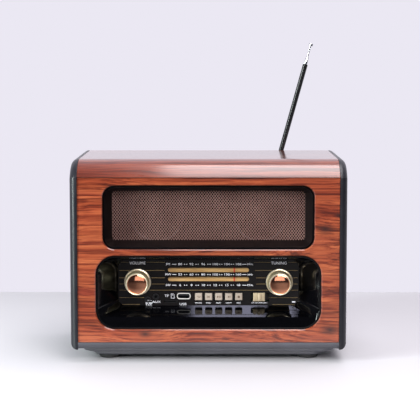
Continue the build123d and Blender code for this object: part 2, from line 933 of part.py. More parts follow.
with BuildPart() as cord_guides:
    for z in (cord_top - post_cord, cord_bottom + post_cord):
        lip_end = pulley_front + lip_thickness
        round_bar(post_x, z, guide_post_radius, (lip_end, circuit_depth))
        round_bar(post_x, z, guide_post_radius + groove_lip, (pulley_front, lip_end))
        round_bar(post_x, z, guide_post_radius + groove_lip, (pulley_back, circuit_depth))
save(cord_guides, "cord_guides")

rail_back = rail_depth + rail_radius + carriage_wall

with BuildPart() as pointer_rail:
    with Locations(Location((0, front + rail_depth, rail_z), (0, 90, 0))):
        Cylinder(rail_radius, 2 * rail_end_x)
    for x in (-rail_end_x, rail_end_x):
        x_span = (x - rail_block / 2, x + rail_block / 2)
        z_span = (guide_high + moving_gap, rail_z + 2 * rail_radius)
        block(x_span, (panel_back, rail_back), z_span)
save(pointer_rail, "pointer_rail")

jaw_gap = cord_radius + moving_gap

with BuildPart() as dial_pointer:
    blade_start = panel_back + moving_gap
    blade_span = (blade_start, blade_start + pointer_thickness)
    blade_x = (pointer_rest_x - pointer_width / 2, pointer_rest_x + pointer_width / 2)
    carriage_x = (pointer_rest_x - carriage_half, pointer_rest_x + carriage_half)
    block(blade_x, blade_span, (lower_slot_z - slot_width / 2 - 1, rail_z))
    arm_z = (guide_high + 2 * moving_gap, rail_z + rail_radius + carriage_wall)
    block(carriage_x, (blade_start, rail_back), arm_z)
    clear = rail_radius + running_clearance
    with Locations(Location((pointer_rest_x, front + rail_depth, rail_z), (0, 90, 0))):
        Cylinder(clear, 2 * carriage_half + 1, mode=Mode.SUBTRACT)
    jaw_front = guide_depth + guide_thickness + moving_gap
    jaw_z = (cord_top - 2 * carriage_wall, guide_high + carriage_wall)
    block(carriage_x, (jaw_front, rail_back), jaw_z)
    slot_z = (cord_top - jaw_gap, cord_top + jaw_gap)
    block(carriage_x, (cord_depth - jaw_gap, rail_back), slot_z, Mode.SUBTRACT)
save(dial_pointer, "dial_pointer")

# ================================================================ circuit board and what it carries
circuit_left = -panel_half
circuit_right = drum_x + drum_cord
circuit_low = cord_bottom - board_margin
circuit_high = panel_high
circuit_span = (circuit_depth, circuit_depth + circuit_thickness)

with BuildPart() as control_board:
    block((circuit_left, circuit_right), circuit_span, (circuit_low, circuit_high))
    round_bar(drum_x, drum_z, drum_shaft_radius + board_margin, circuit_span, Mode.SUBTRACT)
save(control_board, "control_board")


plunger_front = circuit_depth - switch_height - plunger_height


def make_button(x):
    """Push button: square cap, retaining flange and stem."""
    half = button_size / 2
    with BuildPart() as button:
        cap_span = (recess_depth - button_proud, panel_back + moving_gap)
        block((x - half, x + half), cap_span, (button_z - half, button_z + half))
        fillet(edges().group_by(Axis.Y)[0], button_edge)
        wide = half + button_flange
        flange_start = panel_back + button_rest_gap
        flange_span = (flange_start, flange_start + button_flange)
        block((x - wide, x + wide), flange_span, (button_z - wide, button_z + wide))
        round_bar(x, button_z, stem_radius, (flange_start, plunger_front - button_travel - button_rest_gap))
    return button


for index, button_x in enumerate(button_places):
    save(make_button(button_x), f"button_{index + 1}")

with BuildPart() as button_switches:
    for button_x in button_places:
        x_span = (button_x - switch_half, button_x + switch_half)
        z_span = (button_z - switch_half, button_z + switch_half)
        block(x_span, (circuit_depth - switch_height, circuit_depth), z_span)
        round_bar(button_x, button_z, stem_radius, (plunger_front, circuit_depth - switch_height))
save(button_switches, "button_switches")

switch_front = circuit_depth - band_body_height
ridge_front = recess_depth - band_proud - band_ridge_height
slider_back = panel_back + band_neck

with BuildPart() as band_slider:
    half_width = band_width / 2
    half_height = band_height / 2
    x_span = (band_x - half_width, band_x + half_width)
    z_span = (band_z - half_height, band_z + half_height)
    block(x_span, (recess_depth - band_proud, slider_back), z_span)
    chamfer(edges().group_by(Axis.Y)[0], band_edge)
    ridge_span = (ridge_front, recess_depth - band_proud)
    ridge_x = (band_x - band_ridge_half, band_x + band_ridge_half)
    block(ridge_x, ridge_span, (z_span[0] + band_edge, z_span[1] - band_edge))
    chamfer(edges().group_by(Axis.Y)[0].filter_by(Axis.Z), band_edge)
    stem_span = (slider_back, switch_front + band_stem_reach)
    stem_x = (band_x - band_stem_half, band_x + band_stem_half)
    block(stem_x, stem_span, (band_z - band_stem_half, band_z + band_stem_half))
save(band_slider, "band_slider")

with BuildPart() as band_switch:
    half_width = band_slot_width / 2 + band_body_wall
    half_height = band_height / 2
    x_span = (band_slot_x - half_width, band_slot_x + half_width)
    block(x_span, (switch_front, circuit_depth), (band_z - half_height, band_z + half_height))
    slot_half = band_stem_half + band_travel / 2 + hole_clearance
    slot_span = (switch_front, switch_front + band_stem_reach + hole_clearance)
    slot_x = (band_slot_x - slot_half, band_slot_x + slot_half)
    slot_side = band_stem_half + hole_clearance
    block(slot_x, slot_span, (band_z - slot_side, band_z + slot_side), Mode.SUBTRACT)
save(band_switch, "band_switch")

with BuildPart() as usb_socket:
    half_width = usb_width / 2
    half_height = usb_height / 2
    mouth = recess_depth - usb_proud
    x_span = (usb_x - half_width, usb_x + half_width)
    z_span = (usb_z - half_height, usb_z + half_height)
    block(x_span, (mouth, circuit_depth), z_span)
    inner_x = (x_span[0] + shell_wall, x_span[1] - shell_wall)
    inner_z = (z_span[0] + shell_wall, z_span[1] - shell_wall)
    socket_end = circuit_depth - socket_floor
    block(inner_x, (mouth, socket_end), inner_z, Mode.SUBTRACT)
    tongue_x = (usb_x - usb_tongue_width / 2, usb_x + usb_tongue_width / 2)
    tongue_z = (usb_z, usb_z + usb_tongue_height)
    block(tongue_x, (recess_depth + usb_proud, socket_end), tongue_z)
save(usb_socket, "usb_socket")

with BuildPart() as card_socket:
    x_span = (card_x - card_width / 2, card_x + card_width / 2)
    z_span = (card_z - card_height / 2, card_z + card_height / 2)
    mouth = recess_depth + card_recess
    block(x_span, (mouth, circuit_depth), z_span)
    mouth_x = (x_span[0] + shell_wall, x_span[1] - shell_wall)
    mouth_z = (card_z - card_gap / 2, card_z + card_gap / 2)
    block(mouth_x, (mouth, circuit_depth - socket_floor), mouth_z, Mode.SUBTRACT)
save(card_socket, "card_socket")

with BuildPart() as jack_sockets:
    mouth = recess_depth - jack_proud
    for x, z in ((aux_x, aux_z), (ear_x, ear_z)):
        round_bar(x, z, jack_radius, (mouth, panel_back + hole_clearance))
        body_x = (x - jack_body_width / 2, x + jack_body_width / 2)
        body_z = (z - jack_body_height / 2, z + jack_body_height / 2)
        block(body_x, (panel_back + hole_clearance, circuit_depth), body_z)
        round_bar(x, z, jack_bore, (mouth, circuit_depth - socket_floor), Mode.SUBTRACT)
save(jack_sockets, "jack_sockets")

# ================================================================ inside the base
main_board_z = tray_inside + main_board_lift

with BuildPart() as main_board:
    with BuildSketch(Plane.XY.offset(main_board_z)):
        with Locations((0, front + main_board_depth)):
            Rectangle(main_board_width, main_board_length)
    extrude(amount=circuit_thickness)
    parts_z = main_board_z + circuit_thickness
    with BuildSketch(Plane.XY.offset(parts_z)) as cans:
        with Locations((0, front + main_board_depth)):
            with Locations(*can_places):
                Circle(can_radius)
    extrude(cans.sketch, amount=can_height)
    with BuildSketch(Plane.XY.offset(parts_z)) as chips:
        with Locations((0, front + main_board_depth)):
            with Locations(*chip_places):
                Rectangle(chip_length, chip_width)
    extrude(chips.sketch, amount=chip_height)
save(main_board, "main_board")

with BuildPart() as transformer:
    core_centre = (transformer_x, front + transformer_depth, tray_inside + core_size[2] / 2)
    with Locations(core_centre):
        Box(*core_size)
        Box(*winding_size)
save(transformer, "transformer")

with BuildPart() as ferrite_aerial:
    rod_y = front + cover_front - ferrite_gap
    rod_z = cover_high - ferrite_drop
    with Locations(Location((0, rod_y, rod_z), (0, 90, 0))):
        Cylinder(ferrite_radius, ferrite_length)
    with Locations(Location((ferrite_coil_x, rod_y, rod_z), (0, 90, 0))):
        Cylinder(ferrite_radius + ferrite_coil_build, ferrite_coil_length)
    clip_x = ferrite_length / 2 - ferrite_clip
    with Locations(*[(side * clip_x, rod_y, (rod_z + cover_high) / 2) for side in (-1, 1)]):
        Box(ferrite_clip, 2 * ferrite_radius, ferrite_drop)
save(ferrite_aerial, "ferrite_aerial")

# ================================================================ rear cover, battery and inlet
screw_rows = (
    rail_top + boss_size / 2,
    (rail_top + cabinet_top) / 2 + boss_size / 2,
    cabinet_top - board_thickness - boss_size / 2,
)
screw_column = wood_half_width - boss_length / 2
screw_places = [(x, z) for x in (-screw_column, screw_column) for z in screw_rows]

with BuildPart() as rear_cover:
    cover_span = (cover_front, cover_back)
    block((-wood_half_width, wood_half_width), cover_span, (rail_top, cover_high))
    with BuildSketch(at_depth(cover_front)) as cuts:
        with Locations((0, speaker_z)):
            with GridLocations(vent_pitch, vent_row_pitch, vent_columns, vent_rows):
                SlotOverall(vent_length, vent_width, rotation=90)
        with Locations(*screw_places):
            Circle(screw_radius + hole_clearance)
        with Locations((0, (door_bottom + door_top) / 2)):
            Rectangle(2 * door_half_width, door_top - door_bottom)
        with Locations((inlet_x, inlet_z)):
            Rectangle(2 * inlet_half_width, 2 * inlet_half_height)
    extrude(cuts.sketch, amount=-cover_thickness, mode=Mode.SUBTRACT)
save(rear_cover, "rear_cover")

with BuildPart() as rear_screws:
    for x, z in screw_places:
        round_bar(x, z, screw_radius, (cover_front - screw_length + hole_clearance, cover_back))
        round_bar(x, z, screw_head_radius, (cover_back, cover_back + screw_head_height))
    fillet(edges().group_by(Axis.Y)[-1], screw_head_edge)
save(rear_screws, "rear_screws")

holder_half = door_half_width - holder_wall
holder_z = (door_bottom + door_top) / 2
holder_half_height = cell_radius + moving_gap + holder_wall
holder_front = cover_front - 2 * cell_radius - 2 * moving_gap - holder_wall
cell_depth = holder_front + holder_wall + moving_gap + cell_radius
door_depth = cover_back - door_thickness

with BuildPart() as battery_holder:
    z_span = (holder_z - holder_half_height, holder_z + holder_half_height)
    block((-holder_half, holder_half), (holder_front, cover_front), z_span)
    cavity_x = (holder_wall - holder_half, holder_half - holder_wall)
    cavity_z = (z_span[0] + holder_wall, z_span[1] - holder_wall)
    cavity_depth = (holder_front + holder_wall, cover_front)
    block(cavity_x, cavity_depth, cavity_z, Mode.SUBTRACT)
    for side in (-1, 1):
        x_span = (side * holder_half, side * (door_half_width + holder_tab))
        tab_z = (holder_z - holder_tab, holder_z + holder_tab)
        block(sorted(x_span), (cover_front - cover_thickness, cover_front), tab_z)
save(battery_holder, "battery_holder")

with BuildPart() as battery_cell:
    with Locations(Location((0, front + cell_depth, holder_z), (0, 90, 0))):
        Cylinder(cell_radius, cell_length - cell_cap_height)
    fillet(edges(), cell_edge)
    with Locations(Location((cell_cap_height / 2, front + cell_depth, holder_z), (0, 90, 0))):
        Cylinder(cell_cap_radius, cell_length)
save(battery_cell, "battery_cell")

with BuildPart() as battery_contacts:
    inner_x = holder_half - holder_wall
    plate_x = inner_x - contact_thickness
    cell_ends = ((cell_length - cell_cap_height) / 2, (cell_length + cell_cap_height) / 2)
    for side, reach in zip((-1, 1), cell_ends):
        x_span = sorted((side * inner_x, side * plate_x))
        depth_span = (cell_depth - contact_half, cell_depth + contact_half)
        block(x_span, depth_span, (holder_z - contact_half, holder_z + contact_half))
        spring_length = plate_x - reach
        centre_x = side * (plate_x - spring_length / 2)
        tilt = 90 * side
        with Locations(Location((centre_x, front + cell_depth, holder_z), (0, tilt, 0))):
            Cone(spring_foot_radius, spring_tip_radius, spring_length)
save(battery_contacts, "battery_contacts")

with BuildPart() as battery_door:
    half = door_half_width - door_clearance
    z_span = (door_bottom + door_clearance, door_top - door_clearance)
    block((-half, half), (door_depth, cover_back), z_span)
    for step in range(grip_count):
        rib_low = z_span[1] - grip_inset - grip_pitch * step
        rib_z = (rib_low - grip_rib, rib_low)
        block((-grip_half, grip_half), (cover_back, cover_back + grip_height), rib_z)
save(battery_door, "battery_door")

with BuildPart() as mains_inlet:
    x_span = (inlet_x - inlet_half_width, inlet_x + inlet_half_width)
    z_span = (inlet_z - inlet_half_height, inlet_z + inlet_half_height)
    inlet_front = cover_front - inlet_length
    inlet_face = cover_back + inlet_lip_thickness
    block(x_span, (inlet_front, cover_back), z_span)
    lip_x = (x_span[0] - inlet_lip, x_span[1] + inlet_lip)
    lip_z = (z_span[0] - inlet_lip, z_span[1] + inlet_lip)
    block(lip_x, (cover_back, inlet_face), lip_z)
    hole_span = (inlet_front + inlet_floor, inlet_face)
    for side in (-1, 1):
        hole_x = inlet_x + side * inlet_hole_offset
        round_bar(hole_x, inlet_z, inlet_hole_radius, hole_span, Mode.SUBTRACT)
    for side in (-1, 1):
        pin_x = inlet_x + side * inlet_pin_offset
        round_bar(pin_x, inlet_z, inlet_pin_radius, (inlet_front + inlet_floor, cover_back))
save(mains_inlet, "mains_inlet")

# ================================================================ telescopic aerial
aerial_depth = cabinet_depth + aerial_room - knuckle_base / 2
aerial_y = front + aerial_depth
lean = radians(aerial_lean)
elbow = Plane(
    origin=(pivot_x, aerial_y, pivot_z),
    x_dir=(cos(lean), 0, -sin(lean)),
    z_dir=(sin(lean), 0, cos(lean)),
)
knuckle_half = tongue_half + hole_clearance + ear_thickness
knuckle_front = cover_back + bracket_thickness + hole_clearance

with BuildPart() as aerial_bracket:
    bracket_x = (pivot_x - bracket_half, pivot_x + bracket_half)
    bracket_depth = (cover_back, cover_back + bracket_thickness)
    block(bracket_x, bracket_depth, (pivot_z - bracket_drop, cover_high))
    fillet(edges().filter_by(Axis.Y), bracket_corner)
save(aerial_bracket, "aerial_bracket")

with BuildPart(elbow) as aerial_knuckle:
    with BuildSketch(at_depth(knuckle_front)) as barrel:
        with Locations((pivot_x, pivot_z)):
            Circle(barrel_radius)
    extrude(barrel.sketch, amount=-(aerial_depth - knuckle_base / 2 - knuckle_front))
    with Locations((0, 0, -knuckle_drop)):
        Box(2 * knuckle_half, knuckle_base, knuckle_base)
    for side in (-1, 1):
        ear_centre = side * (knuckle_half - ear_thickness / 2)
        with Locations((ear_centre, 0, elbow_rise / 2)):
            Box(ear_thickness, knuckle_base, elbow_rise)
        with Locations(Location((ear_centre, 0, elbow_rise), (0, 90, 0))):
            Cylinder(knuckle_base / 2, ear_thickness)
    with Locations(Location((0, 0, elbow_rise), (0, 90, 0))):
        Cylinder(pin_radius, 2 * knuckle_half)
save(aerial_knuckle, "aerial_knuckle")

with BuildPart(elbow) as aerial_tube:
    with Locations((0, 0, (elbow_rise + tube_start) / 2)):
        Box(2 * tongue_half, tongue_width, tube_start - elbow_rise)
    with Locations(Location((0, 0, elbow_rise), (0, 90, 0))):
        Cylinder(tongue_width / 2, 2 * tongue_half)
        Cylinder(pin_radius + running_clearance, 2 * tongue_half, mode=Mode.SUBTRACT)
    with Locations((0, 0, (tube_start + tube_end) / 2)):
        Cylinder(tube_radius, tube_end - tube_start)
    bore_start = tube_start + bore_floor
    with Locations((0, 0, (bore_start + tube_end) / 2)):
        Cylinder(tube_bore, tube_end - bore_start, mode=Mode.SUBTRACT)
save(aerial_tube, "aerial_tube")

with BuildPart(elbow) as aerial_section:
    section_start = bore_start + hole_clearance
    section_end = tube_end + section_proud
    taper_start = section_end - collar_taper
    with Locations((0, 0, (section_start + taper_start) / 2)):
        Cylinder(inner_radius, taper_start - section_start)
    with Locations((0, 0, taper_start + collar_taper / 2)):
        Cone(inner_radius, collar_tip_radius, collar_taper)
    section_bore = section_start + section_floor
    with Locations((0, 0, (section_bore + section_end) / 2)):
        Cylinder(inner_bore, section_end - section_bore, mode=Mode.SUBTRACT)
save(aerial_section, "aerial_section")

with BuildPart(elbow) as aerial_rod:
    rod_start = section_bore + rod_reach + hole_clearance
    rod_end = section_end + rod_reach
    with Locations((0, 0, (rod_start + rod_end) / 2)):
        Cylinder(rod_radius, rod_end - rod_start)
    with Locations((0, 0, rod_end + tip_length / 2)):
        Cylinder(tip_radius, tip_length)
    fillet(edges().sort_by(Axis.Z)[-1], tip_edge)
save(aerial_rod, "aerial_rod")

print("front plane y", front, "back plane y", back, "aerial y", aerial_y)
print("drum radius", drum_radius, "cord corners", cord_corners)
print("aerial top z", pivot_z + cos(lean) * (rod_end + tip_length) + sin(lean) * tip_radius)
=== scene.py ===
# %% [markdown]
# A table radio in the old style: a rosewood laminate cabinet between two black end caps, with a woven
# metal grille above a glossy black dial recess, two gold knobs, five push keys and a folding aerial.
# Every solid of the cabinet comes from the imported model. This lesson gives those solids their finishes
# and adds the pieces that a maker would print, weave, turn or polish.
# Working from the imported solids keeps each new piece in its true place, so nothing needs fitting by eye.

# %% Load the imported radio
import math

import bmesh
import bpy
from mathutils import Matrix, Vector


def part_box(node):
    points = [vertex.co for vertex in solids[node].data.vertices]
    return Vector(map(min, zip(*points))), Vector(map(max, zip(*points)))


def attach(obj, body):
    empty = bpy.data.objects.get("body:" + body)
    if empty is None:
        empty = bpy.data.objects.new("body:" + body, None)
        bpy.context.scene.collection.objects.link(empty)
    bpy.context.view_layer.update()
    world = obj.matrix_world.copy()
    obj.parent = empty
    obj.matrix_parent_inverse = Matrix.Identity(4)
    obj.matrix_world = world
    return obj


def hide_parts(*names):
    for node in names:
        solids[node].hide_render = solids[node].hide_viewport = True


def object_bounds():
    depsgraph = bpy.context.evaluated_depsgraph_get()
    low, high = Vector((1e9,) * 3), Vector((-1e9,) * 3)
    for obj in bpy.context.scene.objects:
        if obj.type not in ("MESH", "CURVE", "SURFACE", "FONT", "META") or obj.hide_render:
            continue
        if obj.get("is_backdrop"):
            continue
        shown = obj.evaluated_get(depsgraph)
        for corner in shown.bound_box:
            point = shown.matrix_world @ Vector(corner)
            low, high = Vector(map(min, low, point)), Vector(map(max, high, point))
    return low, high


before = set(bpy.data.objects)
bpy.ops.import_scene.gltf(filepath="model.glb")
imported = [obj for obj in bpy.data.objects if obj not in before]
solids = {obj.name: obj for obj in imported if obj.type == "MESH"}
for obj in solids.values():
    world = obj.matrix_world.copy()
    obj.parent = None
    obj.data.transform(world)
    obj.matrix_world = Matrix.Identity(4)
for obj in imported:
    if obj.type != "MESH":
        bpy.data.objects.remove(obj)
cad_low, cad_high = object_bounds()
print("radio box in millimetres", [round(1000 * v, 1) for v in (*cad_low, *cad_high)])

# %% [markdown]
# The camera stands about a metre and a half in front of the radio, a hand above its top, and looks down
# a little. A long lens keeps the cabinet's sides almost parallel, as a product photographer would.
# A small downward shift moves the radio below the middle of the frame. A stronger shift would keep the
# uprights perfectly parallel, but it would push the radio out of every other view.

# %% Set up the camera
camera_place = (0.0054, -1.4473, 0.308)
degrees_down = 5.309
degrees_left = 0.161

camera_lens = bpy.data.cameras.new("camera")
camera_lens.lens = 119.6
camera_lens.shift_y = -0.06
camera = bpy.data.objects.new("camera", camera_lens)
camera.location = camera_place
camera.rotation_euler = (math.radians(90 - degrees_down), 0, math.radians(degrees_left))
bpy.context.scene.collection.objects.link(camera)
bpy.context.scene.camera = camera
bpy.context.scene.view_settings.view_transform = "Standard"
print("camera stands", round(-camera.location.y, 2), "m in front")

# %% [markdown]
# Colours are easiest to name as the eye sees them, from 0 to 255 on a screen. Blender's shaders work in
# linear light, so one small helper turns the first into the second. Every finish below uses it.

# %% Turn a screen colour into light


def paint(red, green, blue):
    """A screen colour from 0 to 255 as linear light with full alpha."""
    light = []
    for part in (red, green, blue):
        share = part / 255
        light.append(share / 12.92 if share <= 0.04045 else ((share + 0.055) / 1.055) ** 2.4)
    return (*light, 1.0)


print("mid grey as light", [round(v, 3) for v in paint(128, 128, 128)])

# %% [markdown]
# A finish is a small net of nodes, and the same few steps come back in all of them. Noise gives a
# pattern, a ramp turns it into colours, a range turns it into a shine, and a bump gives it relief. Each
# step gets a helper here. Patterns lie on Object coordinates, so they stay on a piece when it moves.

# %% Write the steps that finishes share
share_socket, first_socket, second_socket = 0, 6, 7  # a mix node's inputs for colours
blend_socket = 2


def new_finish(name, roughness=0.5, metallic=0.0):
    """An empty finish: the material, its nodes, its wires and its shader."""
    finish = bpy.data.materials.new(name)
    finish.use_nodes = True
    tree = finish.node_tree
    shader = tree.nodes["Principled BSDF"]
    shader.inputs["Roughness"].default_value = roughness
    shader.inputs["Metallic"].default_value = metallic
    return finish, tree.nodes, tree.links, shader


def stretched_place(nodes, links, stretch):
    """Object coordinates, stretched by three factors."""
    place = nodes.new("ShaderNodeTexCoord")
    mapping = nodes.new("ShaderNodeMapping")
    mapping.inputs["Scale"].default_value = stretch
    links.new(place.outputs["Object"], mapping.inputs["Vector"])
    return mapping.outputs["Vector"]


def speckle(nodes, links, place, scale, detail, roughness=0.55):
    """A noise pattern's value at a place."""
    noise = nodes.new("ShaderNodeTexNoise")
    noise.inputs["Scale"].default_value = scale
    noise.inputs["Detail"].default_value = detail
    noise.inputs["Roughness"].default_value = roughness
    links.new(place, noise.inputs["Vector"])
    return noise.outputs["Fac"]


def ramp(nodes, links, value, stops):
    """Colours at given stops along a value."""
    band = nodes.new("ShaderNodeValToRGB")
    while len(band.color_ramp.elements) < len(stops):
        band.color_ramp.elements.new(0.5)
    for element, (stop, colour) in zip(band.color_ramp.elements, stops):
        element.position = stop
        element.color = colour
    links.new(value, band.inputs["Fac"])
    return band.outputs["Color"]


def spread(nodes, links, value, low, high, from_low=0.0, from_high=1.0, ease="LINEAR"):
    """A value moved from one range to another, in a straight line or with soft ends."""
    mapped = nodes.new("ShaderNodeMapRange")
    mapped.interpolation_type = ease
    mapped.inputs["From Min"].default_value = from_low
    mapped.inputs["From Max"].default_value = from_high
    mapped.inputs["To Min"].default_value = low
    mapped.inputs["To Max"].default_value = high
    links.new(value, mapped.inputs["Value"])
    return mapped.outputs["Result"]


def blend_colours(nodes, links, share, first, second, how="MIX"):
    """Two colours mixed by a share. Each of the three is a fixed value or a wire."""
    mix = nodes.new("ShaderNodeMix")
    mix.data_type = "RGBA"
    mix.blend_type = how
    sockets = [mix.inputs[index] for index in (share_socket, first_socket, second_socket)]
    for socket, value in zip(sockets, (share, first, second)):
        if isinstance(value, (float, tuple)):
            socket.default_value = value
        else:
            links.new(value, socket)
    return mix.outputs[blend_socket]


def relief(nodes, links, shader, height, strength, depth):
    """Bump from a height, depth in metres."""
    bump = nodes.new("ShaderNodeBump")
    bump.inputs["Strength"].default_value = strength
    bump.inputs["Distance"].default_value = depth
    links.new(height, bump.inputs["Height"])
    links.new(bump.outputs["Normal"], shader.inputs["Normal"])


def sum_of(nodes, links, first, second, how="ADD"):
    """Two values joined by a sum or another simple step."""
    step = nodes.new("ShaderNodeMath")
    step.operation = how
    for socket, value in zip(step.inputs, (first, second)):
        if isinstance(value, (int, float)):
            socket.default_value = value
        else:
            links.new(value, socket)
    return step.outputs[0]


def axes_of(nodes, links, coordinates="Object"):
    """The three coordinates of a place, as three wires."""
    place = nodes.new("ShaderNodeTexCoord")
    axes = nodes.new("ShaderNodeSeparateXYZ")
    links.new(place.outputs[coordinates], axes.inputs[0])
    return axes.outputs


print("a mix node's colour sockets are", first_socket, "and", second_socket)

# %% [markdown]
# The radio stands on a white table, which ends a quarter of a metre behind it and so leaves a faint
# line across the picture. A white floor would also show in the black plastic as a grey haze. So from
# the radio forward the table is pale to the eye but dark to reflections and to the light it passes on.
# Its far end, toward the camera, glows a little to the eye, because no lamp reaches it.

# %% Build the table
table_back = 0.334
table_front = -2.6
table_half = 2.4
table_cells = 8

table_mesh = bpy.data.meshes.new("table")
bm = bmesh.new()
bmesh.ops.create_grid(bm, x_segments=table_cells, y_segments=table_cells, size=0.5)
bmesh.ops.scale(bm, vec=(2 * table_half, table_back - table_front, 1), verts=bm.verts)
bmesh.ops.translate(bm, vec=(0, (table_back + table_front) / 2, 0), verts=bm.verts)
bm.to_mesh(table_mesh)
bm.free()
table = bpy.data.objects.new("table", table_mesh)
bpy.context.scene.collection.objects.link(table)
table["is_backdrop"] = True

dark_from, dark_to = -0.02, -0.3
glow_from, glow_to = -0.45, -1.1
table_paint, nodes, links, shader = new_finish("table_paint", roughness=0.55)
table_mesh.materials.append(table_paint)
depth = axes_of(nodes, links)["Y"]
seen = nodes.new("ShaderNodeLightPath").outputs["Is Camera Ray"]
unseen = sum_of(nodes, links, 1.0, seen, "SUBTRACT")
in_front = spread(nodes, links, depth, 0.0, 1.0, dark_from, dark_to, "SMOOTHSTEP")
darkness = sum_of(nodes, links, unseen, in_front, "MULTIPLY")
table_colour = blend_colours(nodes, links, darkness, paint(207, 206, 211), paint(40, 40, 44))
links.new(table_colour, shader.inputs["Base Color"])
far_off = spread(nodes, links, depth, 0.0, 1.0, glow_from, glow_to, "SMOOTHSTEP")
links.new(sum_of(nodes, links, far_off, seen, "MULTIPLY"), shader.inputs["Emission Strength"])
shader.inputs["Emission Color"].default_value = paint(214, 212, 222)
print("table ends", round(table_back - cad_high.y, 3), "m behind the radio")

# %% [markdown]
# The backdrop is the world itself. To the eye it is pale all round. Reflections see it pale behind the
# radio and dark behind the camera, as in a studio, so that black plastic stays black.

# %% Hang the backdrop
pale_from, pale_to = -0.15, 0.75
studio = bpy.data.worlds.new("studio")
studio.use_nodes = True
bpy.context.scene.world = studio
nodes, links = studio.node_tree.nodes, studio.node_tree.links
backward = spread(nodes, links, axes_of(nodes, links, "Generated")["Y"], 0.0, 1.0, pale_from, pale_to)
seen = nodes.new("ShaderNodeLightPath").outputs["Is Camera Ray"]
paleness = sum_of(nodes, links, backward, seen, "MAXIMUM")
dark_studio = (0.045, 0.045, 0.055, 1.0)
backdrop_colour = blend_colours(nodes, links, paleness, dark_studio, paint(235, 232, 243))
links.new(backdrop_colour, nodes["Background"].inputs["Color"])
print("backdrop as light", [round(v, 3) for v in paint(235, 232, 243)])

# %% [markdown]
# Soft lamps do the work. The key lamp stands high in front, and a wide lamp overhead draws the long
# glare along the rounded front edge of the top. One on the left lights the wood from the front, and a
# tall narrow one draws the upright glint on the left end cap. Area lamps give soft shadows cheaply, and
# their edges show as crisp shapes in the glossy parts.

# %% Hang the lamps


def lamp(name, place, turn, width, height, power, tint=(1.0, 1.0, 1.0)):
    """A rectangular soft lamp. Unturned it shines straight down; turn is in degrees about X, Y and Z."""
    light = bpy.data.lights.new(name, "AREA")
    light.shape = "RECTANGLE"
    light.size = width
    light.size_y = height
    light.energy = power
    light.color = tint
    holder = bpy.data.objects.new(name, light)
    holder.location = place
    holder.rotation_euler = [math.radians(angle) for angle in turn]
    bpy.context.scene.collection.objects.link(holder)
    return holder


key_lamp = lamp("key_lamp", (0.35, -1.3, 0.8), (60, 0, 12), 0.9, 0.6, 18, (1.0, 0.97, 0.96))
lamp("overhead_lamp", (0.28, -0.15, 1.15), (0, 0, 0), 0.72, 0.9, 10.5, (1.0, 0.96, 0.98))
front_lamp = lamp("front_lamp", (-1.1, -0.9, 0.9), (55, 0, -50), 0.6, 0.6, 9)
lamp("left_strip_lamp", (-1.0, -0.55, 0.3), (90, 0, -62), 0.16, 1.0, 16, (0.88, 1.0, 0.96))

# %% [markdown]
# Four small lamps shine on a few solids each, as a photographer's flags would let them. A low strip
# lights the tray and the front feet, two lamps show as soft patches in the glossy dial panel, and one
# shows in the knobs' mirror discs. The other way round, the key and front lamps leave out the panel, the
# recess and the grille's bezel, which would turn grey in their light.

# %% Link the small lamps to their solids


def only_for(lamps, names, how="INCLUDE"):
    """Lets lamps light only some solids, or all solids but some."""
    group = bpy.data.collections.new("lit_" + names[0] + "_" + how.lower())
    for name in names:
        group.objects.link(solids[name])
    for holder in lamps:
        holder.light_linking.receiver_collection = group
    for entry in group.collection_objects:
        entry.light_linking.link_state = how


tray_lamp = lamp("tray_lamp", (0, -0.9, 0.05), (92, 0, 0), 1.2, 0.08, 5.0)
patch_tint = (0.75, 0.75, 1.0)
patch_lamps = [
    lamp("recess_lamp", (0.031, -0.656, 0.863), (37, 0, 0), 0.125, 0.3, 5.2, patch_tint),
    lamp("side_recess_lamp", (0.132, -0.656, 0.863), (37, 0, 0), 0.022, 0.26, 0.9, patch_tint),
]
disc_lamp = lamp("disc_lamp", (0.1, -1.65, 0.3), (90, 0, 3), 0.8, 0.42, 1.5, (1.0, 0.95, 0.92))
only_for([disc_lamp], ["volume_knob_cap", "tuning_knob_cap"])
only_for(patch_lamps, ["dial_panel"])
only_for([tray_lamp], ["base_tray", "feet_front"])
only_for([key_lamp, front_lamp], ["dial_panel", "control_recess", "grille_bezel"], "EXCLUDE")

# %% [markdown]
# The cabinet is board with a printed rosewood foil under clear lacquer. Real grain runs along the
# board as long fibres, so the pattern is noise that is stretched along X and squeezed along Y and Z.
# Because it is a solid pattern, the grain runs on from the front over the curved nose. Knots bend the
# fibres near them: each one pushes the pattern aside, more the nearer it is.

# %% Bend the fibres round the knots
knots = [
    (Vector((-0.1105, -0.062, 0.1965)), 0.010, 0.0035),
    (Vector((0.1155, -0.0785, 0.1345)), 0.024, -0.0110),
    (Vector((0.1290, -0.0785, 0.1480)), 0.012, 0.0050),
    (Vector((0.1210, -0.0785, 0.0330)), 0.024, 0.0110),
    (Vector((-0.0630, -0.0785, 0.0290)), 0.016, 0.0045),
]

bend_reach = 2.2
heart_reach = 0.28
knot_length_share = 0.55
wander_depth = 0.007

rosewood, nodes, links, shader = new_finish("rosewood_laminate", roughness=0.3)
along, deep, up = axes_of(nodes, links)
wander_place = stretched_place(nodes, links, (7.0, 18.0, 18.0))
wander = speckle(nodes, links, wander_place, 1.0, 2.0)
drift = spread(nodes, links, wander, -wander_depth, wander_depth)


def vector_step(how, wire, value):
    """One step of vector sums on a wire."""
    step = nodes.new("ShaderNodeVectorMath")
    step.operation = how
    step.inputs[1].default_value = value
    links.new(wire, step.inputs[0])
    return step.outputs


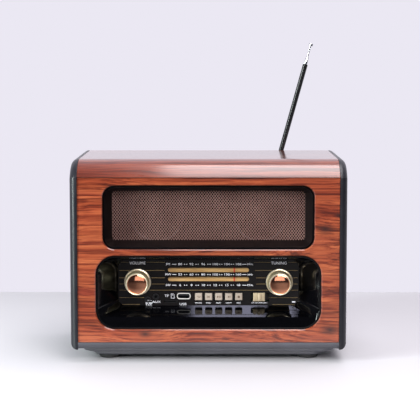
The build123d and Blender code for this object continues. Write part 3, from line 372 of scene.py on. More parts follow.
place = nodes.new("ShaderNodeTexCoord").outputs["Object"]
knot_shade = 0.0
for centre, reach, push in knots:
    offset = vector_step("SUBTRACT", place, centre)[0]
    squeezed = vector_step("MULTIPLY", offset, (knot_length_share, 1.0, 1.0))[0]
    distance = vector_step("LENGTH", squeezed, (0.0, 0.0, 0.0))["Value"]
    pushed = spread(nodes, links, distance, 0.0, push, bend_reach * reach, 0.0, "SMOOTHERSTEP")
    drift = sum_of(nodes, links, drift, pushed)
    heart = spread(nodes, links, distance, 1.0, 0.0, 0.0, heart_reach * reach)
    knot_shade = sum_of(nodes, links, knot_shade, heart, "MAXIMUM")

fibre_place = nodes.new("ShaderNodeCombineXYZ")
links.new(along, fibre_place.inputs[0])
links.new(sum_of(nodes, links, deep, drift), fibre_place.inputs[1])
links.new(sum_of(nodes, links, up, drift), fibre_place.inputs[2])
print("knots in the veneer:", len(knots))

# %% [markdown]
# Four noises along the bent fibres make the grain: broad figure, fine streaks, dark bands and tiny
# pores. Each has its own ramp of browns, and the ramps are multiplied together, as layers of ink are.

# %% Colour the grain


def fibres(stretch, detail):
    """Noise along the bent fibres."""
    mapping = nodes.new("ShaderNodeMapping")
    mapping.inputs["Scale"].default_value = stretch
    links.new(fibre_place.outputs[0], mapping.inputs["Vector"])
    return speckle(nodes, links, mapping.outputs["Vector"], 1.0, detail, 0.62)


broad = fibres((4.0, 52.0, 52.0), 3.0)
streaks = fibres((8.0, 560.0, 560.0), 4.0)
bands = fibres((5.5, 150.0, 150.0), 3.0)
pores = fibres((40.0, 1900.0, 1900.0), 2.0)
base_colour = ramp(
    nodes,
    links,
    broad,
    [
        (0.30, paint(146, 66, 42)),
        (0.44, paint(180, 92, 58)),
        (0.58, paint(196, 112, 72)),
        (0.74, paint(160, 74, 52)),
    ],
)
streak_colour = ramp(
    nodes,
    links,
    streaks,
    [
        (0.30, paint(74, 34, 26)),
        (0.42, paint(150, 84, 62)),
        (0.50, paint(226, 206, 198)),
        (0.66, paint(255, 250, 244)),
    ],
)
band_colour = ramp(
    nodes,
    links,
    bands,
    [
        (0.30, paint(120, 70, 60)),
        (0.46, paint(224, 206, 200)),
        (0.60, paint(255, 252, 250)),
    ],
)
pore_colour = ramp(nodes, links, pores, [(0.32, paint(160, 120, 106)), (0.5, paint(255, 255, 255))])
grain = blend_colours(nodes, links, 0.85, base_colour, streak_colour, "MULTIPLY")
grain = blend_colours(nodes, links, 0.8, grain, band_colour, "MULTIPLY")
grain = blend_colours(nodes, links, 0.45, grain, pore_colour, "MULTIPLY")
grain = blend_colours(nodes, links, knot_shade, grain, paint(48, 22, 20))
print("colour ramps in the grain:", sum(node.type == "VALTORGB" for node in nodes))

# %% [markdown]
# The curved top is a second sheet of foil, a little darker. Where it meets the flat front, a thin dark line
# is painted
# along the seam: partly the joint itself, partly painted shade under the lip of the nose. Clear lacquer
# goes over both, with the streaks just felt through it.

# %% Lay the top foil, paint the seam's shade and lacquer the wood
seam_height = 0.1854
foil_edge = 0.001
seam_shadow_half, seam_shadow_fade = 0.0002, 0.0006
front_skin, front_fade = 0.002, 0.006

above_seam = spread(nodes, links, up, 0.0, 1.0, seam_height, seam_height + foil_edge)
top_foil = blend_colours(nodes, links, 1.0, grain, paint(196, 186, 196), "MULTIPLY")
grain = blend_colours(nodes, links, above_seam, grain, top_foil)
# Along the seam on the front a thin dark line is painted: partly the joint, partly painted shade under the
# lip of the nose.
from_seam = sum_of(nodes, links, up, seam_height, "SUBTRACT")
from_seam = sum_of(nodes, links, from_seam, 0.0, "ABSOLUTE")
near_seam_shadow = spread(nodes, links, from_seam, 1.0, 0.0, seam_shadow_half, seam_shadow_fade)
on_front = spread(nodes, links, deep, 1.0, 0.0, cad_low.y + front_skin, cad_low.y + front_fade)
seam_shadow = sum_of(nodes, links, near_seam_shadow, on_front, "MULTIPLY")
grain = blend_colours(nodes, links, seam_shadow, grain, paint(58, 28, 22))
links.new(grain, shader.inputs["Base Color"])
links.new(spread(nodes, links, streaks, 0.34, 0.24), shader.inputs["Roughness"])
relief(nodes, links, shader, streaks, 0.25, 0.00015)
shader.inputs["Coat Weight"].default_value = 1.0
shader.inputs["Coat Roughness"].default_value = 0.12
shader.inputs["Coat IOR"].default_value = 1.62
print("the foils meet", round(1000 * seam_height, 1), "mm above the table")

# %% [markdown]
# The end caps, the tray and the rear cover are moulded black plastic. Up close it isn't one flat black:
# the tool leaves a fine grain that spreads the light, and handling polishes it unevenly. Two noises do
# that, a fine one for the grain in the relief and a broad one for the worn shine in the roughness.
# One maker of such finishes serves every moulded part, with its own colour, grain size and shine. The
# tray's black is painted a lighter grey, painted light that stands in for the white floor's bounce and
# reflection.

# %% Mix the moulded plastics, rubber and board finishes
fine_share = 0.3


def moulded(name, colour, worn_colour, shine, worn_shine, grain_scale, grain_depth, strength=0.35):
    """Moulded plastic: a fine grain in relief and a broad change of colour and shine."""
    finish, nodes, links, shader = new_finish(name)
    place = stretched_place(nodes, links, (1.0, 1.0, 1.0))
    wear = speckle(nodes, links, place, 28.0, 3.0)
    fine = speckle(nodes, links, place, grain_scale, 2.0)
    tone = ramp(nodes, links, wear, [(0.35, paint(*colour)), (0.68, paint(*worn_colour))])
    links.new(tone, shader.inputs["Base Color"])
    broad_share = sum_of(nodes, links, wear, 1 - fine_share, "MULTIPLY")
    mixed = sum_of(nodes, links, broad_share, sum_of(nodes, links, fine, fine_share, "MULTIPLY"))
    links.new(spread(nodes, links, mixed, shine, worn_shine, 0.3, 0.7), shader.inputs["Roughness"])
    relief(nodes, links, shader, fine, strength, grain_depth)
    return finish


cap_plastic = moulded("end_cap_plastic", (24, 24, 30), (32, 33, 40), 0.28, 0.4, 2600, 0.00003, 0.25)
# The tray's grey is painted light: black plastic made lighter to stand in for the floor's bounce and
# reflection.
tray_plastic_painted_lighter = moulded("tray_plastic_painted_lighter", (66, 66, 72), (76, 76, 84), 0.4, 0.52, 2600, 0.00003, 0.25)
cover_plastic = moulded("rear_cover_plastic", (24, 24, 27), (34, 34, 38), 0.5, 0.66, 1500, 0.00012, 0.6)
bezel_plastic = moulded("grille_bezel_plastic", (7, 5, 8), (11, 9, 13), 0.42, 0.55, 2600, 0.00002, 0.2)
foot_rubber = moulded("foot_rubber", (14, 14, 15), (26, 26, 28), 0.7, 0.85, 900, 0.0002, 0.6)
gloss_black = moulded("recess_gloss_plastic", (4, 4, 7), (8, 8, 12), 0.05, 0.10, 300, 0.00001, 0.05)
panel_black = moulded("dial_panel_acrylic", (14, 9, 9), (19, 13, 12), 0.04, 0.08, 240, 0.00001, 0.04)
jack_plastic = moulded("jack_plastic", (14, 14, 17), (24, 24, 28), 0.3, 0.45, 2600, 0.00003, 0.25)
key_plastic = moulded("key_plastic", (172, 158, 146), (186, 172, 160), 0.22, 0.34, 2400, 0.00002, 0.15)
slider_plastic = moulded("slider_plastic", (188, 170, 142), (206, 190, 162), 0.22, 0.34, 2400, 0.00002, 0.2)
acetal = moulded("drum_acetal", (206, 204, 196), (224, 222, 214), 0.4, 0.5, 1800, 0.00003, 0.25)
part_plastic = moulded("component_plastic", (34, 34, 36), (52, 52, 54), 0.4, 0.55, 1700, 0.00004, 0.35)
cone_paper = moulded("cone_paper", (9, 8, 8), (15, 14, 14), 0.8, 0.95, 1300, 0.00025, 0.8)
baffle_paint = moulded("baffle_paint", (8, 7, 7), (14, 12, 12), 0.75, 0.9, 900, 0.0002, 0.6)
ferrite = moulded("ferrite", (40, 38, 40), (62, 60, 62), 0.45, 0.6, 1200, 0.0001, 0.5)
cell_wrap = moulded("cell_wrap", (44, 92, 160), (60, 112, 184), 0.2, 0.32, 700, 0.00003, 0.25)
for quiet in (bezel_plastic, baffle_paint, cone_paper):
    quiet.node_tree.nodes["Principled BSDF"].inputs["Specular IOR Level"].default_value = 0.2
print("moulded finishes:", sum("plastic" in m.name for m in bpy.data.materials))

# %% [markdown]
# Metals come next: plated steel, brass, the gold of the knobs and the aerial's chrome.
# A real plated part shows faint draw marks and a little staining. Noise that is stretched along one axis
# gives the marks, and it drives the shine as well as a slight change of colour.

# %% Mix the metals


def plated(name, colour, stained, shine, worn_shine, stretch, depth=0.00002, strength=0.3):
    """Plated metal with draw marks along one axis."""
    finish, nodes, links, shader = new_finish(name, metallic=1.0)
    marks = speckle(nodes, links, stretched_place(nodes, links, stretch), 1.0, 5.0)
    stain = speckle(nodes, links, stretched_place(nodes, links, (1.0, 1.0, 1.0)), 60.0, 3.0)
    tone = ramp(nodes, links, stain, [(0.38, paint(*colour)), (0.7, paint(*stained))])
    links.new(tone, shader.inputs["Base Color"])
    links.new(spread(nodes, links, marks, shine, worn_shine, 0.3, 0.7), shader.inputs["Roughness"])
    relief(nodes, links, shader, marks, strength, depth)
    return finish


turned_marks = (400.0, 2600.0, 400.0)
even_marks = (60.0, 60.0, 60.0)
sheet_marks = (60.0, 2200.0, 60.0)
drawn_marks = (1500.0, 1500.0, 90.0)
knob_gold = plated("knob_gold", (244, 232, 208), (226, 210, 180), 0.24, 0.36, turned_marks)
knob_skirt_gold = plated("knob_skirt_gold", (196, 184, 154), (170, 156, 124), 0.3, 0.42, turned_marks)
knob_mirror = plated("knob_mirror", (226, 160, 128), (206, 134, 104), 0.05, 0.1, even_marks, 0.00001, 0.1)
brass = plated("turned_brass", (196, 166, 104), (168, 136, 78), 0.25, 0.4, turned_marks)
rail_steel = plated("plated_steel", (188, 190, 196), (156, 156, 160), 0.25, 0.4, (120.0, 1600.0, 1600.0))
lamination = plated("transformer_steel", (92, 86, 80), (66, 60, 56), 0.45, 0.6, sheet_marks, 0.0002, 0.8)
basket_steel = plated("basket_steel", (62, 62, 66), (46, 46, 50), 0.5, 0.62, (500.0, 500.0, 500.0))
aerial_chrome = plated("aerial_chrome", (222, 223, 228), (196, 198, 204), 0.08, 0.18, drawn_marks)
aerial_paint = moulded("aerial_black_coat", (13, 13, 15), (24, 24, 27), 0.16, 0.26, 900, 0.00002, 0.15)
for soft_gold, metal_share in ((knob_gold, 0.7), (knob_skirt_gold, 0.75)):
    soft_gold.node_tree.nodes["Principled BSDF"].inputs["Metallic"].default_value = metal_share
print("finishes so far:", len(bpy.data.materials))

# %% [markdown]
# Three finishes need their own wires. The light guide is amber plastic with lamps behind it, so it
# glows faintly and unevenly. Circuit board is green glass fibre with a fine weave and copper tracks.
# The dial cord is a plaited thread, which a wave along X stands for well enough at its size.

# %% Mix the light guide, circuit board and cord

amber, nodes, links, shader = new_finish("amber_guide", roughness=0.35)
cloud = speckle(nodes, links, stretched_place(nodes, links, (30.0, 60.0, 260.0)), 1.0, 3.0)
glow = ramp(nodes, links, cloud, [(0.3, paint(172, 130, 78)), (0.7, paint(210, 172, 116))])
links.new(glow, shader.inputs["Base Color"])
links.new(glow, shader.inputs["Emission Color"])
shader.inputs["Emission Strength"].default_value = 0.2
relief(nodes, links, shader, cloud, 0.2, 0.0001)

pointer_red = moulded("pointer_red", (206, 40, 24), (222, 60, 36), 0.25, 0.35, 1200, 0.00002, 0.2)

board_green, nodes, links, shader = new_finish("circuit_board", roughness=0.4)
weave = nodes.new("ShaderNodeTexBrick")
weave.inputs["Scale"].default_value = 260.0
weave.inputs["Color1"].default_value = paint(26, 86, 50)
weave.inputs["Color2"].default_value = paint(32, 98, 58)
weave.inputs["Mortar"].default_value = paint(58, 120, 70)
weave.inputs["Mortar Size"].default_value = 0.03
links.new(stretched_place(nodes, links, (1.0, 1.0, 1.0)), weave.inputs["Vector"])
links.new(weave.outputs["Color"], shader.inputs["Base Color"])
relief(nodes, links, shader, weave.outputs["Fac"], 0.3, 0.00003)

cord_thread, nodes, links, shader = new_finish("dial_cord_thread", roughness=0.9)
plait = nodes.new("ShaderNodeTexWave")
plait.inputs["Scale"].default_value = 700.0
plait.inputs["Distortion"].default_value = 1.0
links.new(stretched_place(nodes, links, (1.0, 1.0, 1.0)), plait.inputs["Vector"])
thread_tones = [(0.2, paint(150, 138, 112)), (0.8, paint(206, 196, 170))]
thread = ramp(nodes, links, plait.outputs["Fac"], thread_tones)
links.new(thread, shader.inputs["Base Color"])
relief(nodes, links, shader, plait.outputs["Fac"], 0.5, 0.0001)
print("finishes in all:", len(bpy.data.materials))

# %% [markdown]
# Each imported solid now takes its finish. A solid keeps its own mesh, and only the material in its slot
# changes, because the shapes are already right. Pieces that get a finer stand-in further down are
# finished here as well, so that nothing is left grey if a stand-in is taken out.

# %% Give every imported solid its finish
finish_of = {
    rosewood: ["top_board", "front_board"],
    cap_plastic: ["side_cap_left", "side_cap_right"],
    tray_plastic_painted_lighter: ["base_tray"],
    cover_plastic: ["rear_cover", "battery_door", "battery_holder"],
    bezel_plastic: ["grille_bezel"],
    foot_rubber: ["feet_front", "feet_rear"],
    gloss_black: ["control_recess"],
    panel_black: ["dial_panel"],
    jack_plastic: ["jack_sockets", "mains_inlet", "card_socket", "usb_socket"],
    key_plastic: [f"button_{index}" for index in range(1, 6)],
    slider_plastic: ["band_slider"],
    acetal: ["capacitor_drum", "cord_guides"],
    part_plastic: ["button_switches", "volume_control", "tuning_capacitor", "band_switch"],
    cone_paper: ["speaker_cone_left", "speaker_cone_right"],
    baffle_paint: ["speaker_baffle"],
    ferrite: ["ferrite_aerial", "speaker_magnet_left", "speaker_magnet_right"],
    cell_wrap: ["battery_cell"],
    knob_gold: ["volume_knob", "tuning_knob"],
    knob_mirror: ["volume_knob_cap", "tuning_knob_cap"],
    brass: ["volume_shaft", "tuning_shaft", "tuning_bushing"],
    rail_steel: [
        "pointer_rail",
        "rear_screws",
        "battery_contacts",
        "aerial_bracket",
        "aerial_knuckle",
        "grille_mesh",
    ],
    lamination: ["transformer"],
    basket_steel: ["speaker_basket_left", "speaker_basket_right"],
    aerial_chrome: ["aerial_section", "aerial_rod"],
    aerial_paint: ["aerial_tube"],
    amber: ["light_guide"],
    pointer_red: ["dial_pointer"],
    board_green: ["control_board", "main_board"],
    cord_thread: ["dial_cord"],
}
for finish, names in finish_of.items():
    for name in names:
        solid = solids[name]
        solid.data.materials.clear()
        solid.data.materials.append(finish)
plain = sorted(set(solids) - {name for names in finish_of.values() for name in names})
print("solids finished:", len(solids) - len(plain), "left plain:", plain)

# %% [markdown]
# Every new piece ends the same way: its bmesh becomes a mesh at the origin, its faces shade smoothly
# with sharp edges kept, it takes a finish, and it rides on the body that carries it. One helper does
# this, so no piece can be left loose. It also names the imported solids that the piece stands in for.

# %% Set a finished piece on its body


def set_piece(name, bm, finish, body, stands_for=(), crease=32):
    """Turns a bmesh into a finished piece that rides on a body."""
    bmesh.ops.remove_doubles(bm, verts=bm.verts, dist=1e-7)
    bmesh.ops.recalc_face_normals(bm, faces=bm.faces)
    mesh = bpy.data.meshes.new(name)
    bm.to_mesh(mesh)
    bm.free()
    mesh.shade_smooth()
    mesh.set_sharp_from_angle(angle=math.radians(crease))
    mesh.materials.append(finish)
    made = bpy.data.objects.new(name, mesh)
    bpy.context.scene.collection.objects.link(made)
    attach(made, body)
    if stands_for:
        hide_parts(*stands_for)
    return made


face_front = Matrix.Rotation(math.radians(90), 4, "X")
print("a flat shape turned by", round(math.degrees(face_front.to_euler().x)), "degrees faces the front")

# %% [markdown]
# Behind the upper opening stands a sheet of expanded metal: slit, then pulled open into small diamonds.
# A picture of holes would look flat from the side, so the diamonds are cut for real. A plain grid is
# turned by 45 degrees, stretched upright and trimmed to the sheet. Each cell is inset and its middle
# taken out, which leaves the strands, and Solidify gives them their thickness. One row of crossings in
# two is pushed forward a little, because real strands lie twisted, and that makes them sparkle.

# %% Weave the grille sheet
sheet_low, sheet_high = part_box("grille_mesh")
diamond_width = 0.00266
diamond_height = 0.0035
strand_width = 0.00040
strand_twist = 0.00030
sheet_thickness = 0.00034
edge_margin = 0.0004

sheet_width = sheet_high.x - sheet_low.x - 2 * edge_margin
sheet_height = sheet_high.z - sheet_low.z - 2 * edge_margin
rows = math.ceil(sheet_width / diamond_width + sheet_height / diamond_height) + 1

bm = bmesh.new()
bmesh.ops.create_grid(bm, x_segments=rows, y_segments=rows, size=rows / 2)
bmesh.ops.rotate(bm, cent=(0, 0, 0), matrix=Matrix.Rotation(math.radians(45), 3, "Z"), verts=bm.verts)
widen = (diamond_width / math.sqrt(2), diamond_height / math.sqrt(2), 1)
bmesh.ops.scale(bm, vec=widen, verts=bm.verts)
for vert in bm.verts:
    if round(vert.co.y / (diamond_height / 2)) % 2 == 0:
        vert.co.z += strand_twist
trims = [((1, 0, 0), sheet_width / 2), ((0, 1, 0), sheet_height / 2)]
for axis, reach in trims:
    for side in (-1, 1):
        normal = Vector(axis) * side
        everything = bm.verts[:] + bm.edges[:] + bm.faces[:]
        bmesh.ops.bisect_plane(
            bm, geom=everything, plane_co=normal * reach, plane_no=normal, clear_outer=True
        )
cells = bm.faces[:]
strands = set(
    bmesh.ops.inset_individual(bm, faces=cells, thickness=strand_width / 2, use_even_offset=True)["faces"]
)
holes = [face for face in bm.faces if face not in strands]
bmesh.ops.delete(bm, geom=holes, context="FACES")
bm.transform(face_front)
sheet_front = (sheet_low.y + sheet_high.y) / 2
sheet_middle = (sheet_low.z + sheet_high.z) / 2
bmesh.ops.translate(bm, vec=(0, sheet_front, sheet_middle), verts=bm.verts)

mesh_metal, nodes, links, shader = new_finish("grille_metal", roughness=0.38, metallic=0.7)
cloud = speckle(nodes, links, stretched_place(nodes, links, (1.0, 1.0, 1.0)), 45.0, 3.0)
tone = ramp(nodes, links, cloud, [(0.35, paint(158, 120, 114)), (0.68, paint(178, 140, 132))])
links.new(tone, shader.inputs["Base Color"])
scratch = speckle(nodes, links, stretched_place(nodes, links, (1.0, 1.0, 1.0)), 2400.0, 2.0)
relief(nodes, links, shader, scratch, 0.2, 0.00003)

grille_sheet = set_piece("grille_sheet", bm, mesh_metal, "cabinet", ["grille_mesh"])
thicken = grille_sheet.modifiers.new("thickness", "SOLIDIFY")
thicken.thickness = sheet_thickness
thicken.offset = 0
print("diamonds:", len(holes), "strand faces:", len(strands))

# %% [markdown]
# Both knobs are turned and plated. Each has a bright bead at its foot, a darker tapered skirt with fine
# flutes for the fingers, and a polished ring round a mirror disc. A lathe makes such a part, and spin
# is bmesh's lathe: it turns an outline round an axis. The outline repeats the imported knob's hollow
# back, so the piece still clears the nut behind it. The flutes are every second strip of the skirt,
# inset and pushed in. Each outline is a list of radius and depth behind the cabinet's front, in
# millimetres.

# %% Turn the knobs
millimetre = 0.001
front_y = cad_low.y


def turn_outline(outline, x, z, steps):
    """Spins an outline of (radius, depth) points in millimetres about the knob's axis."""
    bm = bmesh.new()
    ring = [bm.verts.new((radius * millimetre, 0, -depth * millimetre)) for radius, depth in outline]
    edges = [bm.edges.new(pair) for pair in zip(ring, ring[1:])]
    if outline[0][0] > 0:
        edges.append(bm.edges.new((ring[-1], ring[0])))
    bmesh.ops.spin(
        bm,
        geom=ring + edges,
        cent=(0, 0, 0),
        axis=(0, 0, 1),
        angle=2 * math.pi,
        steps=steps,
        use_merge=True,
    )
    bmesh.ops.remove_doubles(bm, verts=bm.verts, dist=1e-7)
    bm.transform(face_front)
    bmesh.ops.translate(bm, vec=(x, front_y, z), verts=bm.verts)
    return bm


bead_outline = [
    (11.9, 24.68),
    (13.2, 24.68),
    (13.55, 24.2),
    (13.6, 23.4),
    (13.5, 22.4),
    (13.1, 21.75),
    (12.6, 21.55),
    (12.2, 21.7),
    (11.9, 22.1),
]
skirt_outline = [
    (9.95, 24.5),
    (11.9, 24.5),
    (11.9, 21.9),
    (12.05, 21.2),
    (11.9, 20.4),
    (11.3, 10.6),
    (10.9, 10.0),
    (3.12, 10.0),
    (3.12, 19.0),
    (9.7, 19.0),
    (9.7, 24.5),
]
rim_outline = [
    (9.7, 10.0),
    (10.9, 10.0),
    (11.0, 9.2),
    (10.95, 8.75),
    (10.7, 8.35),
    (10.35, 8.22),
    (9.95, 8.4),
    (9.72, 8.8),
]
disc_outline = [
    (0.0, 8.30),
    (1.5, 8.32),
    (3.0, 8.39),
    (4.5, 8.51),
    (6.0, 8.68),
    (7.4, 8.90),
    (8.6, 9.16),
    (9.4, 9.38),
    (9.66, 9.55),
    (9.66, 9.80),
    (0.0, 9.80),
]

rim_steps, skirt_steps = 96, 144
skirt_from, skirt_to = 12, 18
flute_radius = 0.011
flute_edge, flute_depth = 0.00008, 0.00018
for knob in ("volume", "tuning"):
    low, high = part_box(f"{knob}_knob")
    knob_x, knob_z = (low.x + high.x) / 2, (low.z + high.z) / 2
    bead = turn_outline(bead_outline, knob_x, knob_z, rim_steps)
    set_piece(f"{knob}_knob_bead", bead, knob_gold, knob)
    skirt = turn_outline(skirt_outline, knob_x, knob_z, skirt_steps)
    skirt.faces.ensure_lookup_table()
    strips = []
    for face in skirt.faces:
        middle = face.calc_center_median()
        out = Vector((middle.x - knob_x, middle.z - knob_z))
        depth = (middle.y - front_y) / millimetre
        if skirt_from < depth < skirt_to and out.length > flute_radius:
            strips.append((math.atan2(out.y, out.x), face))
    strips.sort(key=lambda pair: pair[0])
    flutes = [face for _, face in strips[::2]]
    bmesh.ops.inset_individual(skirt, faces=flutes, thickness=flute_edge, depth=-flute_depth)
    set_piece(
        f"{knob}_knob_skirt", skirt, knob_skirt_gold, knob, [f"{knob}_knob"], crease=24
    )
    rim = turn_outline(rim_outline, knob_x, knob_z, rim_steps)
    set_piece(f"{knob}_knob_rim", rim, knob_gold, knob)
    disc = turn_outline(disc_outline, knob_x, knob_z, rim_steps)
    mirror_disc = set_piece(
        f"{knob}_knob_disc", disc, knob_mirror, knob, [f"{knob}_knob_cap"]
    )
    disc_lamp.light_linking.receiver_collection.objects.link(mirror_disc)
    print(knob, "knob at x", round(knob_x * 1000, 1), "mm with", len(flutes), "flutes")

# %% [markdown]
# The dial's print lies on the acrylic: three scales with their numbers, thin gold lines, and small white
# words at the knobs, sockets and keys. A screen printer lays ink a few hundredths of a millimetre
# thick. Text objects give the letters, each becomes a mesh first, and then all go into one thin piece.
# The numbers and words are generic: the bands, their units, and what each control does.

# %% Set the type for the dial
panel_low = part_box("dial_panel")[0]
ink_front = panel_low.y - 0.00012
ink_thickness = 0.00010
line_height_share = 1.4  # a type block's size, as a share of its capitals' height


def set_word(bm, word, x, z, height, stretch):
    """One word, centred at x and z in millimetres, added to a print."""
    type_block = bpy.data.curves.new("word", "FONT")
    type_block.body = word
    type_block.size = height * line_height_share * millimetre
    type_block.align_x = "CENTER"
    type_block.align_y = "CENTER"
    type_block.extrude = ink_thickness / 2
    type_block.resolution_u = 3
    holder = bpy.data.objects.new("word", type_block)
    bpy.context.scene.collection.objects.link(holder)
    bpy.context.view_layer.update()
    graph = bpy.context.evaluated_depsgraph_get()
    letters = bpy.data.meshes.new_from_object(holder.evaluated_get(graph))
    letters.transform(Matrix.Diagonal((stretch, 1, 1, 1)))
    letters.transform(face_front)
    letters.transform(Matrix.Translation((x * millimetre, ink_front, z * millimetre)))
    bm.from_mesh(letters)
    bpy.data.objects.remove(holder)
    bpy.data.curves.remove(type_block)
    bpy.data.meshes.remove(letters)


def lay_bar(bm, x_low, x_high, z, height):
    """A printed bar between two x places, in millimetres."""
    fresh = bmesh.ops.create_cube(bm, size=1.0)["verts"]
    size = ((x_high - x_low) * millimetre, ink_thickness, height * millimetre)
    bmesh.ops.scale(bm, vec=size, verts=fresh)
    middle = ((x_low + x_high) / 2 * millimetre, ink_front, z * millimetre)
    bmesh.ops.translate(bm, vec=middle, verts=fresh)


print("ink lies", round((panel_low.y - ink_front) * 1e6), "micrometres in front of the panel")

# %% Print the scales and the words
white_ink_painted_glow = moulded("white_ink_painted_glow", (216, 216, 224), (232, 232, 240), 0.5, 0.6, 3000, 0.00001, 0.1)
gold_ink = moulded("gold_ink", (104, 86, 54), (126, 104, 66), 0.4, 0.5, 3000, 0.00001, 0.1)

# The white ink glows faintly: painted light that keeps the small words bright in the shade of the recess.
ink_shader = white_ink_painted_glow.node_tree.nodes["Principled BSDF"]
ink_shader.inputs["Emission Color"].default_value = paint(206, 206, 214)
ink_shader.inputs["Emission Strength"].default_value = 0.28

words = bmesh.new()
number_places = [-28.6, -17.2, -5.4, 6.6, 18.4, 30.0]
dot_shares = (0.39, 0.58)
dot_half = 0.5
scales = [
    (95.6, "FM", ["88", "92", "96", "100", "104", "108"], "MHz"),
    (85.1, "MW", ["53", "60", "80", "100", "130", "160"], "kHz"),
    (74.3, "SW", ["6", "8", "10", "12", "15", "18"], "MHz"),
]
for z, band, numbers, unit in scales:
    set_word(words, band, -40.8, z, 2.2, 1.1)
    set_word(words, unit, 42.0, z, 1.9, 1.2)
    lay_bar(words, -36.6, -32.4, z, 0.5)
    lay_bar(words, 34.0, 38.2, z, 0.5)
    for x, number in zip(number_places, numbers):
        set_word(words, number, x, z, 2.2, 1.35)
    for x, following in zip(number_places, number_places[1:]):
        for share in dot_shares:
            dot = x + (following - x) * share
            lay_bar(words, dot - dot_half, dot + dot_half, z, 0.7)
set_word(words, "VOLUME", -71.5, 96.7, 2.9, 1.02)
set_word(words, "TUNING", 71.0, 96.7, 2.9, 1.02)
labels = [
    ("USB", -25.8, 54.9, 2.4),
    ("AUX", -52.6, 57.2, 2.3),
    ("TF", -42.2, 63.4, 2.3),
    ("MODE", -10.0, 56.1, 1.35),
    ("PREV", 0.13, 56.1, 1.35),
    ("PLAY", 10.26, 56.1, 1.35),
    ("NEXT", 20.39, 56.1, 1.35),
    ("REC", 30.52, 56.1, 1.35),
    ("BT FM MW SW", 51.2, 56.2, 1.35),
]
for word, x, z, height in labels:
    set_word(words, word, x, z, height, 1.25)
card_sign = [
    (-37.9, -35.2, 65.5, 0.35),
    (-37.9, -34.5, 61.0, 0.35),
    (-37.9, -37.5, 63.2, 4.7),
    (-34.9, -34.5, 62.9, 4.2),
    (-36.7, -35.6, 64.3, 0.8),
]
jack_sign = [
    (-61.6, -57.4, 58.6, 0.4),
    (-63.6, -61.2, 56.0, 0.9),
    (-60.4, -56.8, 56.0, 0.9),
]
lamp_mark = (84.4, 87.6, 57.3, 1.4)
for x_low, x_high, z, height in (*card_sign, *jack_sign, lamp_mark):
    lay_bar(words, x_low, x_high, z, height)
set_word(words, "EAR", -60.2, 54.0, 1.7, 1.5)
print_triangles = sum(len(face.verts) - 2 for face in words.faces)
set_piece("dial_words", words, white_ink_painted_glow, "cabinet", crease=40)

print("the words have", print_triangles, "triangles")

# %% [markdown]
# Thin gold lines run across the panel at seven heights. They stop short of the scales in the middle, and
# they leave a round gap for each knob. A line that passes a knob is cut at the gap's circle, and the top
# line is cut where the knobs' words stand.

# %% Print the gold lines
line_ends = (-90.0, 90.0)
line_height = 0.42
line_rows = [
    (97.6, [-44.0, 46.0]),
    (89.3, [-44.5, 47.0]),
    (81.8, [-44.0, 48.0]),
    (75.5, [-44.0, 48.0]),
    (69.2, []),
    (61.6, [-64.8, 60.8]),
    (54.6, [-69.5, 64.8]),
]
knob_gap = 14.0
knob_places = (-71.5, 71.5)
knob_height = 77.7
word_height, word_gap = 96.0, 9.0
shortest_line = 1.0


def leave_gap(spans, gap_low, gap_high):
    """What is left of some spans when a gap is cut out of them."""
    left = []
    for start, end in spans:
        for piece in ((start, min(end, gap_low)), (max(start, gap_high), end)):
            if piece[1] - piece[0] > shortest_line:
                left.append(piece)
    return left


lines = bmesh.new()
for z, stops in line_rows:
    spans = [line_ends]
    if stops:
        spans = leave_gap(spans, *stops)
    clear = word_gap
    if z < word_height:
        clear = math.sqrt(max(0.0, knob_gap**2 - (z - knob_height) ** 2))
    for centre in knob_places:
        spans = leave_gap(spans, centre - clear, centre + clear)
    for start, end in spans:
        lay_bar(lines, start, end, z, line_height)
set_piece("dial_lines", lines, gold_ink, "cabinet", crease=40)
print("rows of lines:", len(line_rows))

# %% [markdown]
# A bright rim goes round the USB socket, folded from thin sheet. It starts as one flat face with its
# corners bevelled round. An inset makes the ring, the middle is taken out, and an extrusion gives the
# height.

# %% Fit the socket's rim


def rounded_ring(x, z, width, height, corner, wall, rise, front):
    """A raised ring with rounded corners, in millimetres, standing on a front in metres."""
    bm = bmesh.new()
    bmesh.ops.create_grid(bm, x_segments=1, y_segments=1, size=0.5)
    bmesh.ops.scale(bm, vec=(width * millimetre, height * millimetre, 1), verts=bm.verts)
    bmesh.ops.bevel(
        bm,
        geom=bm.verts[:],
        affect="VERTICES",
        offset=corner * millimetre,
        segments=8,
        profile=0.5,
        material=-1,
    )
    ring = bmesh.ops.inset_region(
        bm, faces=bm.faces[:], thickness=wall * millimetre, use_boundary=True, use_even_offset=True
    )["faces"]
    middle = [face for face in bm.faces if face not in ring]
    bmesh.ops.delete(bm, geom=middle, context="FACES")
    raised = bmesh.ops.extrude_face_region(bm, geom=bm.faces[:])["geom"]
    lifted = [item for item in raised if isinstance(item, bmesh.types.BMVert)]
    bmesh.ops.translate(bm, vec=(0, 0, rise * millimetre), verts=lifted)
    bm.transform(face_front)
    bmesh.ops.translate(bm, vec=(x * millimetre, front, z * millimetre), verts=bm.verts)
    return bm


rim_silver = moulded("rim_silver", (196, 192, 188), (226, 222, 218), 0.24, 0.34, 1800, 0.00003, 0.2)
usb_low, usb_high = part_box("usb_socket")
usb_x, usb_z = (usb_low.x + usb_high.x) / 2 / millimetre, (usb_low.z + usb_high.z) / 2 / millimetre
rim_front = min(usb_low.y, panel_low.y)
rim_width, rim_height, rim_corner = 13.9, 6.4, 2.9
rim_wall, rim_rise = 0.9, 0.35
usb_ring = rounded_ring(
    usb_x, usb_z, rim_width, rim_height, rim_corner, rim_wall, rim_rise, rim_front
)
set_piece("usb_rim", usb_ring, rim_silver, "cabinet")

# %% [markdown]
# The five keys carry small printed symbols: mode, back, play, forward and record. A symbol is a few
# bars and triangles a tenth of a millimetre thick. Each one rides on its own key, so it goes in with the
# key when the key is pressed.

# %% Print the key symbols
symbol_ink = moulded("symbol_ink", (92, 74, 60), (112, 92, 76), 0.5, 0.6, 3000, 0.00001, 0.1)
symbol_thickness = 0.00012


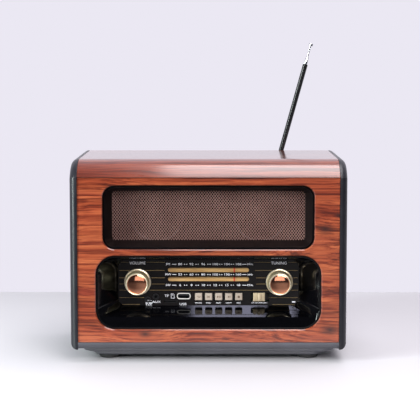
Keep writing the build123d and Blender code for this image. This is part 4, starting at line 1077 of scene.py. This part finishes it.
def lay_shape(bm, sides, x, z, radius, turn, front):
    """A flat regular shape with some sides, in millimetres, lying on a key."""
    fresh = bmesh.ops.create_cone(
        bm,
        cap_ends=True,
        segments=sides,
        radius1=radius * millimetre,
        radius2=radius * millimetre,
        depth=symbol_thickness,
        matrix=Matrix.Rotation(math.radians(turn), 4, "Z"),
    )["verts"]
    bmesh.ops.transform(bm, matrix=face_front, verts=fresh)
    bmesh.ops.translate(bm, vec=(x * millimetre, front, z * millimetre), verts=fresh)


def lay_stroke(bm, x, z, width, height, front):
    """A flat upright or level stroke, in millimetres, lying on a key."""
    fresh = bmesh.ops.create_cube(bm, size=1.0)["verts"]
    bmesh.ops.scale(
        bm, vec=(width * millimetre, symbol_thickness, height * millimetre), verts=fresh
    )
    bmesh.ops.translate(bm, vec=(x * millimetre, front, z * millimetre), verts=fresh)


symbols = {
    1: [
        ("stroke", -0.6, 0.5, 2.2, 0.45),
        ("stroke", 0.6, -0.5, 2.2, 0.45),
        ("shape", 4, 1.5, 0.5, 0.55, 0),
    ],
    2: [("stroke", -1.3, 0.0, 0.45, 2.3), ("shape", 3, 0.2, 0.0, 1.35, 90)],
    3: [
        ("shape", 3, -0.9, 0.0, 1.35, -90),
        ("stroke", 0.8, 0.0, 0.45, 2.3),
        ("stroke", 1.6, 0.0, 0.45, 2.3),
    ],
    4: [("shape", 3, -0.2, 0.0, 1.35, -90), ("stroke", 1.3, 0.0, 0.45, 2.3)],
    5: [("shape", 16, 0.0, 0.0, 1.2, 0)],
}
for index, marks in symbols.items():
    low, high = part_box(f"button_{index}")
    key_x, key_z = (low.x + high.x) / 2 / millimetre, (low.z + high.z) / 2 / millimetre
    key_front = low.y - symbol_thickness / 4
    symbol = bmesh.new()
    for kind, *mark in marks:
        if kind == "stroke":
            right, up, width, height = mark
            lay_stroke(symbol, key_x + right, key_z + up, width, height, key_front)
        else:
            sides, right, up, radius, turn = mark
            lay_shape(symbol, sides, key_x + right, key_z + up, radius, turn, key_front)
    set_piece(f"key_symbol_{index}", symbol, symbol_ink, f"push_{index}")
print("symbols printed on keys:", len(symbols))

# %% [markdown]
# The band slider is pushed sideways by a fingertip, so its cap carries upright ribs: a tall one in the
# middle and lower ones beside it. Each rib is a bar whose front edges are bevelled, and all of them ride
# with the slider.

# %% Rib the band slider
slider_low, slider_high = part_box("band_slider")
slider_middle = (slider_low.x + slider_high.x) / 2
rib_height = 0.0056
rib_round = 0.00028
ribs = [(-3.6, 1.0, 0.35), (0.0, 2.4, 0.7), (3.6, 1.0, 0.35)]
grip = bmesh.new()
for offset, width, rise in ribs:
    rib = bmesh.new()
    bmesh.ops.create_cube(rib, size=1.0)
    bmesh.ops.scale(rib, vec=(width * millimetre, 2 * rise * millimetre, rib_height), verts=rib.verts)
    front_edges = [edge for edge in rib.edges if all(vert.co.y < 0 for vert in edge.verts)]
    bmesh.ops.bevel(
        rib,
        geom=front_edges,
        affect="EDGES",
        offset=rib_round,
        segments=3,
        profile=0.5,
        material=-1,
    )
    rib_place = (slider_middle + offset * millimetre, slider_low.y, (slider_low.z + slider_high.z) / 2)
    bmesh.ops.translate(rib, vec=rib_place, verts=rib.verts)
    rib_mesh = bpy.data.meshes.new("rib")
    rib.to_mesh(rib_mesh)
    rib.free()
    grip.from_mesh(rib_mesh)
    bpy.data.meshes.remove(rib_mesh)
set_piece("slider_grip", grip, slider_plastic, "band")
print("slider ribs stand at x", round(slider_middle * 1000, 1), "mm")

# %% [markdown]
# One thing is left. The box round the finished radio is written beside the box of the imported model,
# so that a maker can see at once that nothing stands out further than the plan allows.

# %% Write down the sizes and finish
seen_low, seen_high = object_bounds()
grown = [round(1000 * (a - b), 2) for a, b in zip((*seen_low, *seen_high), (*cad_low, *cad_high))]
print("visual box against the packed box in millimetres", grown)
